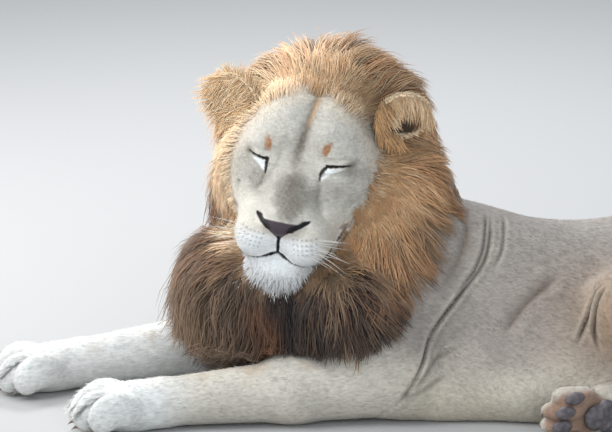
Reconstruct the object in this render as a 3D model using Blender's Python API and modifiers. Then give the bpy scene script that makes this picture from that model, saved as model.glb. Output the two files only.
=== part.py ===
"""A young male lion at rest, life size and still.

It lies on its chest and its right hip, with both forelegs stretched forward, the head turned to its left
and both hind legs drawn out to its left. It faces -Y, its left side is +X, and the floor is z = 0.
The whole body is fused from named masses, and thin cuts then part it into the pieces a person would name.
"""

import math

import bmesh
import bpy
import numpy as np
from mathutils import Matrix, Vector

# ---------------------------------------------------------------- driving sizes, in metres and degrees

GAP = 0.0003  # between two solids that meet
FLAT_DEPTH = 0.004  # how far the underside is pressed into the floor before it is cut level

BODY_VOXEL = 0.0095
BODY_TRIANGLES = 2250
FEET_EASE = 0.92  # how readily the feet give up triangles, where the rest of the body is 1
HEAD_VOXEL = 0.0065
HEAD_TRIANGLES = 760

HEAD_YAW = 61.0  # turned from straight ahead towards the lion's left
HEAD_PITCH = 7.0  # nose down
HEAD_ROLL = 9.5  # crown towards the lion's left
EYES_AT = Vector((0.100, -0.572, 0.498))  # the point midway between the eyes

EYE_RADIUS = 0.0185
EYES_OFF = {"left": Vector((0.0775, 0.027, 0.005)), "right": Vector((-0.0775, 0.027, -0.007))}  # the head is tilted
EAR_WIDTH = 0.100
EAR_HEIGHT = 0.104
EAR_WALL = 0.009
EARS_AT = {"left": (0.178, 0.118, 0.101), "right": (-0.157, 0.118, 0.066)}  # the left ear is the pricked one
MUZZLE_WIDTH = 0.184
CHEEK_WIDTH = 0.332
NOSE_TIP = (0.0, -0.138, -0.086)  # from the point between the eyes
CROWN_HEIGHT = 0.118
CHIN_DROP = 0.238
CHIN_MIDDLE = -0.188

FORE_TOES = {"left": Vector((0.107, -1.035, 0.036)), "right": Vector((-0.180, -1.115, 0.036))}
WRISTS = {"left": Vector((0.122, -0.840, 0.049)), "right": Vector((-0.196, -0.915, 0.049))}
ELBOWS = {"left": Vector((0.205, -0.410, 0.076)), "right": Vector((-0.205, -0.440, 0.076))}
SHOULDERS = {"left": Vector((0.150, -0.500, 0.220)), "right": Vector((-0.150, -0.500, 0.220))}

HIPS = {"left": Vector((0.050, 0.335, 0.235)), "right": Vector((-0.060, 0.335, 0.110))}
KNEES = {"left": Vector((0.295, 0.050, 0.205)), "right": Vector((0.120, 0.010, 0.085))}
HOCKS = {"left": Vector((0.440, 0.350, 0.048)), "right": Vector((0.362, 0.130, 0.046))}
HIND_TOES = {"left": Vector((0.560, 0.075, 0.030)), "right": Vector((0.462, -0.190, 0.050))}

FORE_TOE_PLACES = (-0.74, -0.26, 0.26, 0.74)  # across a forepaw, in half widths
FORE_TOE_REACH = (0.88, 1.0, 1.0, 0.88)  # of the way from the wrist to the foremost toe
FOREPAW_HALF_WIDTH = 0.070
HINDPAW_HALF_WIDTH = 0.056

TAIL_RADIUS = 0.024
TAIL_ROUTE = (
    (-0.030, 0.450, 0.130),
    (-0.020, 0.560, 0.050),
    (0.060, 0.690, 0.0205),
    (0.210, 0.780, 0.0195),
    (0.380, 0.800, 0.0190),
    (0.540, 0.740, 0.0185),
)
TUFT_END = (0.680, 0.600, 0.030)

FUR = (0.46, 0.39, 0.29)
PALE_FUR = (0.66, 0.58, 0.47)
FACE_FUR = (0.50, 0.44, 0.36)
GOLD_MANE = (0.52, 0.31, 0.14)
DARK_MANE = (0.13, 0.09, 0.065)
NOSE_SKIN = (0.10, 0.065, 0.065)
PAD_SKIN = (0.12, 0.10, 0.10)
CLAW_HORN = (0.10, 0.08, 0.07)
EYE_AMBER = (0.30, 0.15, 0.04)


# ---------------------------------------------------------------- scene, objects and materials


def clear_scene():
    for obj in list(bpy.data.objects):
        bpy.data.objects.remove(obj, do_unlink=True)


def new_collection(name):
    made = bpy.data.collections.new(name)
    bpy.context.scene.collection.children.link(made)
    return made


def material(name, colour, roughness=0.8):
    made = bpy.data.materials.new(name)
    made.use_nodes = True
    shader = made.node_tree.nodes["Principled BSDF"]
    shader.inputs["Base Color"].default_value = (*colour, 1.0)
    shader.inputs["Roughness"].default_value = roughness
    shader.inputs["Metallic"].default_value = 0.0
    return made


def mesh_object(name, points, faces):
    mesh = bpy.data.meshes.new(name)
    mesh.from_pydata([tuple(p) for p in points], [], faces)
    obj = bpy.data.objects.new(name, mesh)
    helpers.objects.link(obj)
    obj.hide_render = True
    obj.display_type = "WIRE"
    return obj


def ellipsoid(centre, radii, turn=(0.0, 0.0, 0.0), detail=4):
    """An ellipsoid turned by a matrix or by degrees about X, Y and Z, with its place in its mesh."""
    shape = bmesh.new()
    bmesh.ops.create_icosphere(shape, subdivisions=detail, radius=1.0)
    if isinstance(turn, Matrix):
        spin = turn
    else:
        spin = Matrix.Rotation(math.radians(turn[2]), 4, "Z")
        spin @= Matrix.Rotation(math.radians(turn[1]), 4, "Y")
        spin @= Matrix.Rotation(math.radians(turn[0]), 4, "X")
    place = Matrix.Translation(Vector(centre)) @ spin @ Matrix.Diagonal((*radii, 1.0))
    shape.transform(place)
    obj = mesh_object("mass", [], [])
    shape.to_mesh(obj.data)
    shape.free()
    return obj


def pair(centre, radii, turn=(0.0, 0.0, 0.0)):
    """An ellipsoid and its mirror image across the middle plane."""
    other = (-centre[0], centre[1], centre[2])
    return [ellipsoid(centre, radii, turn), ellipsoid(other, radii, (turn[0], -turn[1], -turn[2]))]


def bar(start, end, start_radius, end_radius, flatten=1.0, steps=9, widen=1.0):
    """A tapered round bar with full ends, made of overlapping balls."""
    start, end = Vector(start), Vector(end)
    made = []
    for step in range(steps):
        t = step / (steps - 1)
        radius = start_radius + (end_radius - start_radius) * t
        radii = (radius * widen, radius, radius * flatten)
        made.append(ellipsoid(start.lerp(end, t), radii, detail=3))
    return made


def loft(stations, sides=28, cuts=4):
    """A closed body along Y through egg-shaped sections.

    Each station is (y, middle x, middle z, half width, half height, narrowing of the top, roll in degrees).
    """
    knots = np.array(stations, float)
    t = np.arange(len(knots))
    fine = np.linspace(0, len(knots) - 1, (len(knots) - 1) * cuts + 1)
    rows = np.empty((len(fine), knots.shape[1]))
    slopes = np.gradient(knots, axis=0)
    for i, u in enumerate(fine):
        k = min(int(u), len(t) - 2)
        f = u - k
        rows[i] = (
            (2 * f**3 - 3 * f**2 + 1) * knots[k]
            + (f**3 - 2 * f**2 + f) * slopes[k]
            + (3 * f**2 - 2 * f**3) * knots[k + 1]
            + (f**3 - f**2) * slopes[k + 1]
        )
    angles = np.arange(sides) * 2 * math.pi / sides
    points = []
    for y, x, z, half_width, half_height, narrow, roll in rows:
        across = half_width * np.cos(angles) * (1 - narrow * np.sin(angles))
        up = half_height * np.sin(angles)
        c, s = math.cos(math.radians(roll)), math.sin(math.radians(roll))
        points += [(x + a * c + b * s, y, z - a * s + b * c) for a, b in zip(across, up)]
    faces = []
    for ring in range(len(rows) - 1):
        for i in range(sides):
            j = (i + 1) % sides
            near, far = ring * sides, (ring + 1) * sides
            faces.append((near + i, near + j, far + j, far + i))
    faces.append(tuple(reversed(range(sides))))
    faces.append(tuple(range((len(rows) - 1) * sides, len(rows) * sides)))
    obj = mesh_object("loft", points, faces)
    outward(obj)
    return obj


def outward(obj):
    shape = bmesh.new()
    shape.from_mesh(obj.data)
    bmesh.ops.recalc_face_normals(shape, faces=shape.faces)
    shape.to_mesh(obj.data)
    shape.free()


def joined(name, objects):
    """One object that holds the meshes of several, which are removed."""
    shape = bmesh.new()
    for obj in objects:
        shape.from_mesh(obj.data)
        bpy.data.objects.remove(obj, do_unlink=True)
    whole = mesh_object(name, [], [])
    shape.to_mesh(whole.data)
    shape.free()
    return whole


def baked(obj):
    """Applies the object's modifiers to its mesh."""
    bpy.context.view_layer.update()
    graph = bpy.context.evaluated_depsgraph_get()
    done = bpy.data.meshes.new_from_object(obj.evaluated_get(graph))
    obj.modifiers.clear()
    obj.data = done
    return obj


def fused(name, objects, voxel, rounds, triangles, fine=()):
    """One smooth closed body round all the masses, with about so many triangles.

    Near the points of fine, each a centre and a radius, the mesh keeps more of its triangles.
    """
    whole = joined(name, objects)
    remesh = whole.modifiers.new("fuse", "REMESH")
    remesh.mode = "VOXEL"
    remesh.voxel_size = voxel
    smooth = whole.modifiers.new("blend", "SMOOTH")
    smooth.iterations = rounds
    smooth.factor = 0.5
    baked(whole)
    count = sum(len(face.vertices) - 2 for face in whole.data.polygons)
    fewer = whole.modifiers.new("lighten", "DECIMATE")
    fewer.ratio = triangles / count
    if fine:
        coarse = whole.vertex_groups.new(name="coarse")
        for vertex in whole.data.vertices:
            close = any((vertex.co - centre).length < radius for centre, radius in fine)
            coarse.add([vertex.index], FEET_EASE if close else 1.0, "REPLACE")
        fewer.vertex_group = coarse.name
    fewer.use_collapse_triangulate = True
    return baked(whole)


def boolean(obj, other, operation):
    cut = obj.modifiers.new(operation.lower(), "BOOLEAN")
    cut.operation = operation
    cut.object = other
    cut.solver = "EXACT"
    return baked(obj)


def grown(obj, by=GAP):
    """A copy of a body whose faces all stand further out."""
    copy = bpy.data.objects.new(obj.name + "_room", obj.data.copy())
    helpers.objects.link(copy)
    copy.hide_render = True
    copy.display_type = "WIRE"
    shape = bmesh.new()
    shape.from_mesh(copy.data)
    shape.normal_update()
    moves = [(vertex, vertex.normal * by) for vertex in shape.verts]
    for vertex, move in moves:
        vertex.co += move
    shape.to_mesh(copy.data)
    shape.free()
    return copy


def largest_piece(obj):
    """Drops the crumbs that a cut leaves beside the main body."""
    shape = bmesh.new()
    shape.from_mesh(obj.data)
    waiting = set(shape.verts)
    pieces = []
    while waiting:
        front = [waiting.pop()]
        piece = set(front)
        while front:
            for edge in front.pop().link_edges:
                for vertex in edge.verts:
                    if vertex in waiting:
                        waiting.discard(vertex)
                        piece.add(vertex)
                        front.append(vertex)
        pieces.append(piece)
    pieces.sort(key=len, reverse=True)
    spare = [vertex for piece in pieces[1:] for vertex in piece]
    bmesh.ops.delete(shape, geom=spare, context="VERTS")
    bmesh.ops.triangulate(shape, faces=shape.faces)
    shape.to_mesh(obj.data)
    shape.free()
    return obj


def region(planes, grow=0.0):
    """The convex room behind planes, each a point and the way that points out of the room."""
    shape = bmesh.new()
    bmesh.ops.create_cube(shape, size=6.0)
    for point, out in planes:
        out = Vector(out).normalized()
        every = shape.verts[:] + shape.edges[:] + shape.faces[:]
        place = Vector(point) + out * grow
        cut = bmesh.ops.bisect_plane(shape, geom=every, plane_co=place, plane_no=out, clear_outer=True)
        rim = [item for item in cut["geom_cut"] if isinstance(item, bmesh.types.BMEdge)]
        bmesh.ops.contextual_create(shape, geom=rim)
    bmesh.ops.recalc_face_normals(shape, faces=shape.faces)
    obj = mesh_object("room", [], [])
    shape.to_mesh(obj.data)
    shape.free()
    return obj


def carve(rest, name, planes):
    """Takes what lies in a room out of the rest, as a body of its own, and leaves the gap between them."""
    piece = bpy.data.objects.new(name, rest.data.copy())
    helpers.objects.link(piece)
    inside, outside = region(planes), region(planes, GAP)
    boolean(piece, inside, "INTERSECT")
    boolean(rest, outside, "DIFFERENCE")
    for used in (inside, outside):
        bpy.data.objects.remove(used, do_unlink=True)
    return piece


def between(low, high):
    """The six planes of a box."""
    ways = ((0, low, -1), (1, low, -1), (2, low, -1), (0, high, 1), (1, high, 1), (2, high, 1))
    planes = []
    for axis, corner, sign in ways:
        out = Vector((0, 0, 0))
        out[axis] = sign
        planes.append((corner, out))
    return planes


def as_node(obj, name, paint):
    """Makes a finished body one of the lion's named pieces."""
    largest_piece(obj)
    obj.name = name
    obj.data.name = name
    helpers.objects.unlink(obj)
    lion.objects.link(obj)
    obj.hide_render = False
    obj.display_type = "SOLID"
    obj.data.materials.clear()
    obj.data.materials.append(paint)
    obj.data.shade_smooth()
    obj.data.set_sharp_from_angle(angle=math.radians(35))
    return obj


# ---------------------------------------------------------------- the head, in its own frame, then turned


def head_matrix():
    turn = Matrix.Rotation(math.radians(HEAD_YAW), 4, "Z")
    turn @= Matrix.Rotation(math.radians(HEAD_PITCH), 4, "X")
    turn @= Matrix.Rotation(math.radians(HEAD_ROLL), 4, "Y")
    return Matrix.Translation(EYES_AT) @ turn


def head_masses():
    half_muzzle = MUZZLE_WIDTH / 2
    half_cheek = CHEEK_WIDTH / 2
    tip = Vector(NOSE_TIP)
    made = [
        ellipsoid((0, 0.150, CROWN_HEIGHT - 0.102), (0.126, 0.112, 0.102)),  # braincase and its muscles
        ellipsoid((0, -0.010, -0.106), (half_muzzle - 0.012, 0.102, 0.052), (6, 0, 0)),  # upper jaw
        ellipsoid((0, -0.004, -0.168), (0.072, 0.094, 0.043), (6, 0, 0)),  # lower jaw
        ellipsoid((0, -0.070, CHIN_MIDDLE), (0.059, 0.046, CHIN_DROP + CHIN_MIDDLE)),  # chin
        ellipsoid((0, 0.120, -0.136), (0.103, 0.099, 0.083)),  # throat
        ellipsoid(tip + Vector((0, 0.020, 0)), (0.043, 0.022, 0.024)),  # nose leather
    ]
    bridge_end = tip + Vector((0, 0.066, 0.002))
    made += bar((0, 0.040, -0.020), bridge_end, 0.038, 0.032, 0.95, 9, 1.42)  # bridge of the nose
    made += pair((0.038, 0.094, 0.040), (0.075, 0.081, 0.079))  # two lobes of the forehead
    made += pair((half_cheek - 0.070, 0.092, -0.034), (0.064, 0.083, 0.065), (0, 0, -12))  # cheekbones
    made += pair((0.098, 0.112, -0.100), (0.060, 0.087, 0.077), (0, 0, -8))  # chewing muscles
    made += pair((0.056, 0.048, -0.044), (0.058, 0.056, 0.058))  # under the eyes
    made += pair((0.062, 0.042, 0.026), (0.042, 0.032, 0.023), (0, 14, -16))  # brows
    made += pair((half_muzzle - 0.045, -0.078, -0.122), (0.043, 0.053, 0.050), (0, 0, 12))  # whisker pads
    made += pair((0.064, -0.036, -0.131), (0.036, 0.066, 0.045), (-12, 0, -10))  # hanging lips
    made += pair((0.082, 0.030, -0.100), (0.040, 0.062, 0.038), (-30, 0, -14))  # corners of the mouth
    return made


def ear(name):
    """A round cup that faces outwards and forwards, with its foot inside the mane."""
    side = 1 if name == "left" else -1
    shape = bmesh.new()
    bmesh.ops.create_uvsphere(shape, u_segments=12, v_segments=8, radius=1.0)
    every = shape.verts[:] + shape.edges[:] + shape.faces[:]
    bmesh.ops.bisect_plane(shape, geom=every, plane_co=(0, -0.12, 0), plane_no=(0, -1, 0), clear_outer=True)
    shape.transform(Matrix.Diagonal((EAR_WIDTH / 2, 0.034, EAR_HEIGHT / 2, 1.0)))
    place = Matrix.Translation(EARS_AT[name])
    place @= Matrix.Rotation(math.radians(side * 40), 4, "Y") @ Matrix.Rotation(math.radians(side * 20), 4, "Z")
    shape.transform(head_matrix() @ place)
    obj = mesh_object("ear", [], [])
    shape.to_mesh(obj.data)
    shape.free()
    wall = obj.modifiers.new("wall", "SOLIDIFY")
    wall.thickness = EAR_WALL
    wall.offset = -1.0
    return largest_piece(baked(obj))


def eye(name):
    shape = bmesh.new()
    bmesh.ops.create_uvsphere(shape, u_segments=12, v_segments=6, radius=EYE_RADIUS)
    shape.transform(head_matrix() @ Matrix.Translation(EYES_OFF[name]))
    obj = mesh_object("eye", [], [])
    shape.to_mesh(obj.data)
    shape.free()
    return obj


# ---------------------------------------------------------------- the body's masses


def trunk_masses():
    stations = (
        (-0.585, 0.00, 0.225, 0.070, 0.090, 0.00, 0),
        (-0.540, 0.00, 0.220, 0.130, 0.170, 0.05, 0),
        (-0.440, 0.00, 0.212, 0.180, 0.212, 0.15, 0),
        (-0.300, 0.01, 0.206, 0.214, 0.206, 0.24, 0),
        (-0.170, 0.040, 0.184, 0.262, 0.192, 0.30, 4),
        (-0.040, 0.060, 0.160, 0.286, 0.172, 0.28, 7),
        (0.090, 0.050, 0.150, 0.270, 0.160, 0.20, 8),
        (0.210, 0.025, 0.154, 0.236, 0.160, 0.12, 8),
        (0.330, 0.000, 0.160, 0.200, 0.166, 0.06, 6),
        (0.430, -0.010, 0.150, 0.160, 0.152, 0.00, 4),
        (0.500, -0.015, 0.130, 0.080, 0.090, 0.00, 0),
    )
    return [
        loft(stations),
        ellipsoid((0.205, -0.070, 0.062), (0.172, 0.235, 0.112), (0, 0, 6)),  # belly, sagging to the left
        ellipsoid((0.182, -0.285, 0.052), (0.122, 0.150, 0.086)),  # lower ribs behind the left elbow
        ellipsoid((-0.105, 0.265, 0.120), (0.122, 0.170, 0.122), (0, 0, 8)),  # right haunch
    ]


def foreleg_masses(name):
    side = 1 if name == "left" else -1
    shoulder, elbow, wrist, toes = SHOULDERS[name], ELBOWS[name], WRISTS[name], FORE_TOES[name]
    middle = elbow.lerp(wrist, 0.45)
    made = [
        ellipsoid((side * 0.135, -0.350, 0.290), (0.060, 0.120, 0.150), (28, side * -14, 0)),  # shoulder blade
        ellipsoid((side * 0.165, -0.360, 0.190), (0.068, 0.120, 0.120), (20, 0, 0)),  # triceps
    ]
    made += bar(shoulder, elbow + Vector((0, 0.01, 0.03)), 0.085, 0.080)
    made += bar(elbow, middle, 0.077, 0.069)
    made += bar(middle, wrist, 0.067, 0.053)
    across = (toes - wrist).cross(UP).normalized()
    made += paw_masses(wrist, toes, across, FOREPAW_HALF_WIDTH, 1.0)
    return made


def paw_masses(wrist, toes, across, half_width, size):
    """A paw from the wrist or hock end to the toe tips, with four toes side by side."""
    ahead = (toes - wrist).normalized()
    above = across.cross(ahead).normalized()
    turn = Matrix((across, ahead, above)).transposed().to_4x4()
    length = (toes - wrist).length
    made = [ellipsoid(wrist.lerp(toes, 0.36), (half_width * 0.84, length * 0.46, 0.055 * size), turn)]
    for place, reach in zip(FORE_TOE_PLACES, FORE_TOE_REACH):
        tip = wrist.lerp(toes, reach) + across * place * half_width
        knuckle = tip - ahead * 0.052 * size + above * 0.015 * size
        made.append(ellipsoid(knuckle, (0.0225 * size, 0.044 * size, 0.036 * size), turn))
        made.append(ellipsoid(tip - ahead * 0.024 * size, (0.0195 * size, 0.030 * size, 0.032 * size), turn))
    return made


def hindleg_masses(name):
    hip, knee, hock, toes = HIPS[name], KNEES[name], HOCKS[name], HIND_TOES[name]
    thigh = 0.125 if name == "left" else 0.095
    knee_radius = 0.084 if name == "left" else 0.070
    made = bar(hip, knee, thigh, knee_radius, 0.86)
    made += bar(knee, hock, knee_radius * 0.96, 0.050)
    made += bar(hock, hock.lerp(toes, 0.5), 0.048, 0.044, steps=6)
    if name == "right":
        across = Vector((0.12, 0.0, 1.0)).normalized()  # the sole is turned up to the left
    else:
        across = (toes - hock).cross(UP).normalized()
    made += paw_masses(hock.lerp(toes, 0.40), toes, across, HINDPAW_HALF_WIDTH, 0.86)
    return made


def smooth_route(points, count):
    """Points along a smooth curve through the given ones."""
    knots = np.array(points, float)
    slopes = np.gradient(knots, axis=0)
    made = []
    for u in np.linspace(0, len(knots) - 1, count):
        k = min(int(u), len(knots) - 2)
        f = u - k
        made.append(
            (2 * f**3 - 3 * f**2 + 1) * knots[k]
            + (f**3 - 2 * f**2 + f) * slopes[k]
            + (3 * f**2 - 2 * f**3) * knots[k + 1]
            + (f**3 - f**2) * slopes[k + 1]
        )
    return [Vector(point) for point in made]


def tail_masses():
    route = smooth_route(TAIL_ROUTE, 70)
    made = []
    for i, point in enumerate(route):
        radius = TAIL_RADIUS * (1.7 - 0.85 * min(1.0, i / 18))
        made.append(ellipsoid(point, (radius, radius, radius), detail=3))
    tuft = smooth_route((TAIL_ROUTE[-2], TAIL_ROUTE[-1], TUFT_END), 21)[10:]
    for i, point in enumerate(tuft):
        radius = 0.020 + 0.026 * math.sin(math.pi * (i + 1.2) / (len(tuft) + 1.2))
        made.append(ellipsoid((point.x, point.y, radius * 0.8), (radius, radius, radius * 0.85), detail=3))
    return made


def mane_masses():
    """The mane out to its tips: a ruff round the face, the neck, the nape and the chest."""
    turn = head_matrix()

    def beside_head(x, y, z):
        return turn @ Vector((x, y, z))

    turned = (0, HEAD_ROLL, HEAD_YAW)
    return [
        ellipsoid(beside_head(0.025, 0.240, -0.035), (0.242, 0.122, 0.218), turned),  # ruff
        ellipsoid(beside_head(0.015, 0.185, 0.118), (0.100, 0.100, 0.078), turned),  # crest
        ellipsoid(beside_head(0.015, 0.160, -0.150), (0.222, 0.125, 0.172), turned),  # beard and cheeks
        ellipsoid((-0.030, -0.380, 0.350), (0.190, 0.190, 0.180), (0, 0, 20)),  # neck
        ellipsoid((0.105, -0.352, 0.285), (0.100, 0.110, 0.150), (24, 0, 0)),  # locks over the near shoulder
        ellipsoid((0.010, -0.330, 0.440), (0.160, 0.145, 0.105), (-10, 0, 0)),  # nape and withers
        ellipsoid((-0.095, -0.290, 0.370), (0.130, 0.115, 0.130)),  # mane falling to the right of the withers
        ellipsoid((-0.015, -0.600, 0.215), (0.205, 0.200, 0.170), (0, 0, 0)),  # throat and chest
        ellipsoid((-0.035, -0.620, 0.110), (0.140, 0.165, 0.105), (0, 0, 0)),  # between the forelegs
    ]


# ---------------------------------------------------------------- parting the body into named pieces

UP, DOWN = Vector((0, 0, 1)), Vector((0, 0, -1))
LEFT, RIGHT = Vector((1, 0, 0)), Vector((-1, 0, 0))
AHEAD, BEHIND = Vector((0, -1, 0)), Vector((0, 1, 0))


def at(x=0.0, y=0.0, z=0.0):
    return Vector((x, y, z))


def beside(start, end, away):
    """An upright plane through two points of the floor, facing the given way."""
    along = Vector((end[0] - start[0], end[1] - start[1], 0))
    out = along.cross(UP)
    return at(*start), out if out.dot(away) > 0 else -out


def foreleg_cuts():
    cuts = []
    for name, away in (("left", RIGHT), ("right", LEFT)):
        side = -away.x
        wrist, elbow = WRISTS[name], ELBOWS[name]
        wrist_end = at(y=wrist.y - 0.020)
        inner = beside((wrist.x - side * 0.064, wrist.y), (elbow.x - side * 0.084, elbow.y), away)
        cuts.append(("forepaw_" + name, "pale", [(wrist_end, BEHIND), (at(-0.03), away)]))
        forearm = [(at(y=elbow.y + 0.010), BEHIND), inner, (at(z=0.150), UP)]
        cuts.append(("forearm_" + name, "pale", forearm))
    return cuts


def mane_cuts():
    turn = head_matrix()
    head_up = turn.to_3x3() @ UP
    head_left = turn.to_3x3() @ LEFT
    brow = turn @ Vector((0, 0, 0.085))
    front = (at(y=-0.460, z=0.130), Vector((0, 1, -0.64)))
    return [
        ("mane_chest", "dark", [front, (at(z=0.235), UP)]),
        ("mane_nape", "gold", [front, (at(y=-0.375), AHEAD)]),
        ("mane_crown", "gold", [front, (brow, -head_up)]),
        ("mane_left", "gold", [front, (EYES_AT, -head_left)]),
        ("mane_right", "gold", [front]),
    ]


def hindleg_cuts():
    hip, knee = HIPS["left"], KNEES["left"]
    along = (knee - hip).normalized()
    ahead = Vector((along.y, -along.x, 0))
    hock, toes = HOCKS["right"], HIND_TOES["right"]
    foot = (toes - hock).normalized()
    outer = Vector((-foot.y, foot.x, 0)).normalized()
    knee_end = knee + along * 0.100
    knee_fold = Vector((0.99, 0.15, 0))
    foot_right = [
        (hock - outer * 0.048, -outer),
        (hock + outer * 0.062, outer),
        (at(y=hock.y + 0.010), BEHIND),
        (at(z=0.108), UP),
    ]
    shank_right = [
        (at(0.220), RIGHT),
        (at(0.420), LEFT),
        (at(y=0.040), AHEAD),
        (at(y=0.260), BEHIND),
        (at(z=0.094), UP),
    ]
    foot_left = [(at(HOCKS["left"].x - 0.020), RIGHT), (at(y=HOCKS["left"].y - 0.035), BEHIND), (at(z=0.130), UP)]
    shank_left = [(knee, -knee_fold), (at(y=0.440), BEHIND), (at(y=0.020), AHEAD)]
    thigh_left = [
        (hip + along * 0.060, -along),
        (knee_end, along),
        (hip + ahead * 0.105, ahead),
        (at(z=0.110), DOWN),
        (at(y=0.420), BEHIND),
    ]
    thigh_right = [(at(0.000), LEFT), (at(z=0.160), UP), (at(y=0.090), AHEAD), (at(y=0.440), BEHIND)]
    return [
        ("hindfoot_right", "pale", foot_right),
        ("shank_right", "fur", shank_right),
        ("hindfoot_left", "pale", foot_left),
        ("shank_left", "fur", shank_left),
        ("thigh_left", "fur", thigh_left),
        ("thigh_right", "fur", thigh_right),
    ]


def trunk_cuts():
    return [
        ("tail_tuft", "dark", [(at(0.545), RIGHT), (at(y=0.450), AHEAD)]),
        ("tail_end", "fur", [(at(0.290), RIGHT), (at(y=0.500), AHEAD)]),
        ("tail_middle", "fur", [(at(y=0.640), AHEAD)]),
        ("tail_root", "fur", [(at(y=0.515), AHEAD)]),
        ("shoulder_left", "fur", [(at(0.118), RIGHT), (at(y=-0.215), BEHIND)]),
        ("shoulder_right", "fur", [(at(-0.118), LEFT), (at(y=-0.215), BEHIND)]),
        ("chest", "fur", [(at(y=-0.090), BEHIND)]),
        ("belly", "fur", [(at(y=0.160), BEHIND)]),
    ]


# ---------------------------------------------------------------- pads and claws


def pads():
    """The heel pad and four toe pads of the upturned right hind foot."""
    hock, toes = HOCKS["right"], HIND_TOES["right"]
    foot = (toes - hock).normalized()
    outer = Vector((-foot.y, foot.x, 0)).normalized()
    turn = (0, 0, math.degrees(math.atan2(foot.y, foot.x)))
    made = {"pad_heel": ellipsoid(hock + foot * 0.235 + outer * 0.040, (0.037, 0.014, 0.034), turn, 2)}
    for i, (reach, height) in enumerate(((0.298, 0.0160), (0.322, 0.0430), (0.314, 0.0700), (0.292, 0.0950))):
        place = hock + foot * reach + outer * 0.036
        made["pad_toe_%d" % (i + 1)] = ellipsoid((place.x, place.y, height), (0.0245, 0.011, 0.0132), turn, 2)
    return made


def claw(tip, ahead, length=0.018, radius=0.0042):
    shape = bmesh.new()
    bmesh.ops.create_cone(shape, segments=6, radius1=radius, radius2=0.0008, depth=length, cap_ends=True)
    facing = Vector(ahead).to_track_quat("Z", "Y").to_matrix().to_4x4()
    shape.transform(Matrix.Translation(tip - Vector(ahead).normalized() * length / 2) @ facing)
    obj = mesh_object("claw", [], [])
    shape.to_mesh(obj.data)
    shape.free()
    return obj


def claws():
    """Four half-drawn claws on each forepaw."""
    made = {}
    for name in ("left", "right"):
        wrist, toes = WRISTS[name], FORE_TOES[name]
        ahead = (toes - wrist).normalized()
        across = ahead.cross(UP).normalized()
        for i, (place, reach) in enumerate(zip(FORE_TOE_PLACES, FORE_TOE_REACH)):
            tip = wrist.lerp(toes, reach) + across * place * FOREPAW_HALF_WIDTH + ahead * 0.008
            way = Vector((ahead.x, ahead.y, -0.45))
            made["claw_%s_%d" % (name, i + 1)] = claw(at(tip.x, tip.y, 0.013), way)
    return made


# ---------------------------------------------------------------- build

clear_scene()
lion = new_collection("lion")
helpers = new_collection("helpers")
helpers.hide_render = True

paint = {
    "fur": material("fur", FUR),
    "pale": material("pale_fur", PALE_FUR),
    "face": material("face_fur", FACE_FUR),
    "gold": material("gold_mane", GOLD_MANE),
    "dark": material("dark_mane", DARK_MANE),
    "nose": material("nose_skin", NOSE_SKIN, 0.5),
    "pad": material("pad_skin", PAD_SKIN, 0.6),
    "claw": material("claw", CLAW_HORN, 0.4),
    "eye": material("eye", EYE_AMBER, 0.1),
}


def make_room(obj, *others):
    """Cuts the space that finished bodies take, and the gap round them, out of another."""
    for other in others:
        room = grown(other)
        boolean(obj, room, "DIFFERENCE")
        bpy.data.objects.remove(room, do_unlink=True)


def build():
    head = fused("head", head_masses(), HEAD_VOXEL, 6, HEAD_TRIANGLES)
    head.data.transform(head_matrix())

    masses = trunk_masses() + tail_masses() + mane_masses()
    for name in ("left", "right"):
        masses += foreleg_masses(name) + hindleg_masses(name)
    feet = [(WRISTS[name].lerp(FORE_TOES[name], 0.75), 0.130) for name in WRISTS]
    feet += [(HOCKS[name].lerp(HIND_TOES[name], 0.80), 0.110) for name in HOCKS]
    body = fused("body", masses, BODY_VOXEL, 5, BODY_TRIANGLES, feet)
    body.data.transform(Matrix.Translation((0, 0, -FLAT_DEPTH)))
    below = region(between((-2, -2, -1), (2, 2, 0)))
    boolean(body, below, "DIFFERENCE")
    bpy.data.objects.remove(below, do_unlink=True)

    ears = {"ear_left": ear("left"), "ear_right": ear("right")}
    eyes = {"eye_left": eye("left"), "eye_right": eye("right")}
    make_room(head, *eyes.values(), *ears.values())
    make_room(body, head, *ears.values())
    for name, obj in {**ears, **eyes}.items():
        as_node(obj, name, paint["eye" if name in eyes else "gold"])

    tip = head_matrix() @ Vector(NOSE_TIP)
    forward = head_matrix().to_3x3() @ AHEAD
    head_up = head_matrix().to_3x3() @ UP
    head_left = head_matrix().to_3x3() @ LEFT
    nose = [(tip - forward * 0.022, -forward), (tip + head_up * 0.027, head_up), (tip - head_up * 0.032, -head_up)]
    for way in (head_left, -head_left):
        nose.append((tip + way * 0.034, way - head_up * 0.55))
    as_node(carve(head, "nose", nose), "nose", paint["nose"])
    as_node(head, "head", paint["face"])

    pieces = {}
    for name, colour, planes in foreleg_cuts() + mane_cuts() + hindleg_cuts() + trunk_cuts():
        pieces[name] = carve(body, name, planes)
        largest_piece(pieces[name])
        pieces[name]["paint"] = colour
    body["paint"] = "fur"
    pieces["rump"] = body

    sole = pads()
    make_room(pieces["hindfoot_right"], *sole.values())
    horn = claws()
    for name, obj in horn.items():
        make_room(pieces["forepaw_" + name.split("_")[1]], obj)
    for name, obj in sole.items():
        as_node(obj, name, paint["pad"])
    for name, obj in horn.items():
        as_node(obj, name, paint["claw"])
    for name, obj in pieces.items():
        as_node(obj, name, paint[obj["paint"]])


build()
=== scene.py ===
"""A young male lion at rest: one skin, its coat and mane, the eyes, claws and pads, over the fixed frame.

The lion faces -Y, its left side is +X and the floor is z = 0. Sizes are in metres and turns in degrees.
"""

import math

import bpy
import numpy as np
from mathutils import Matrix, Vector
from mathutils.bvhtree import BVHTree


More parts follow.
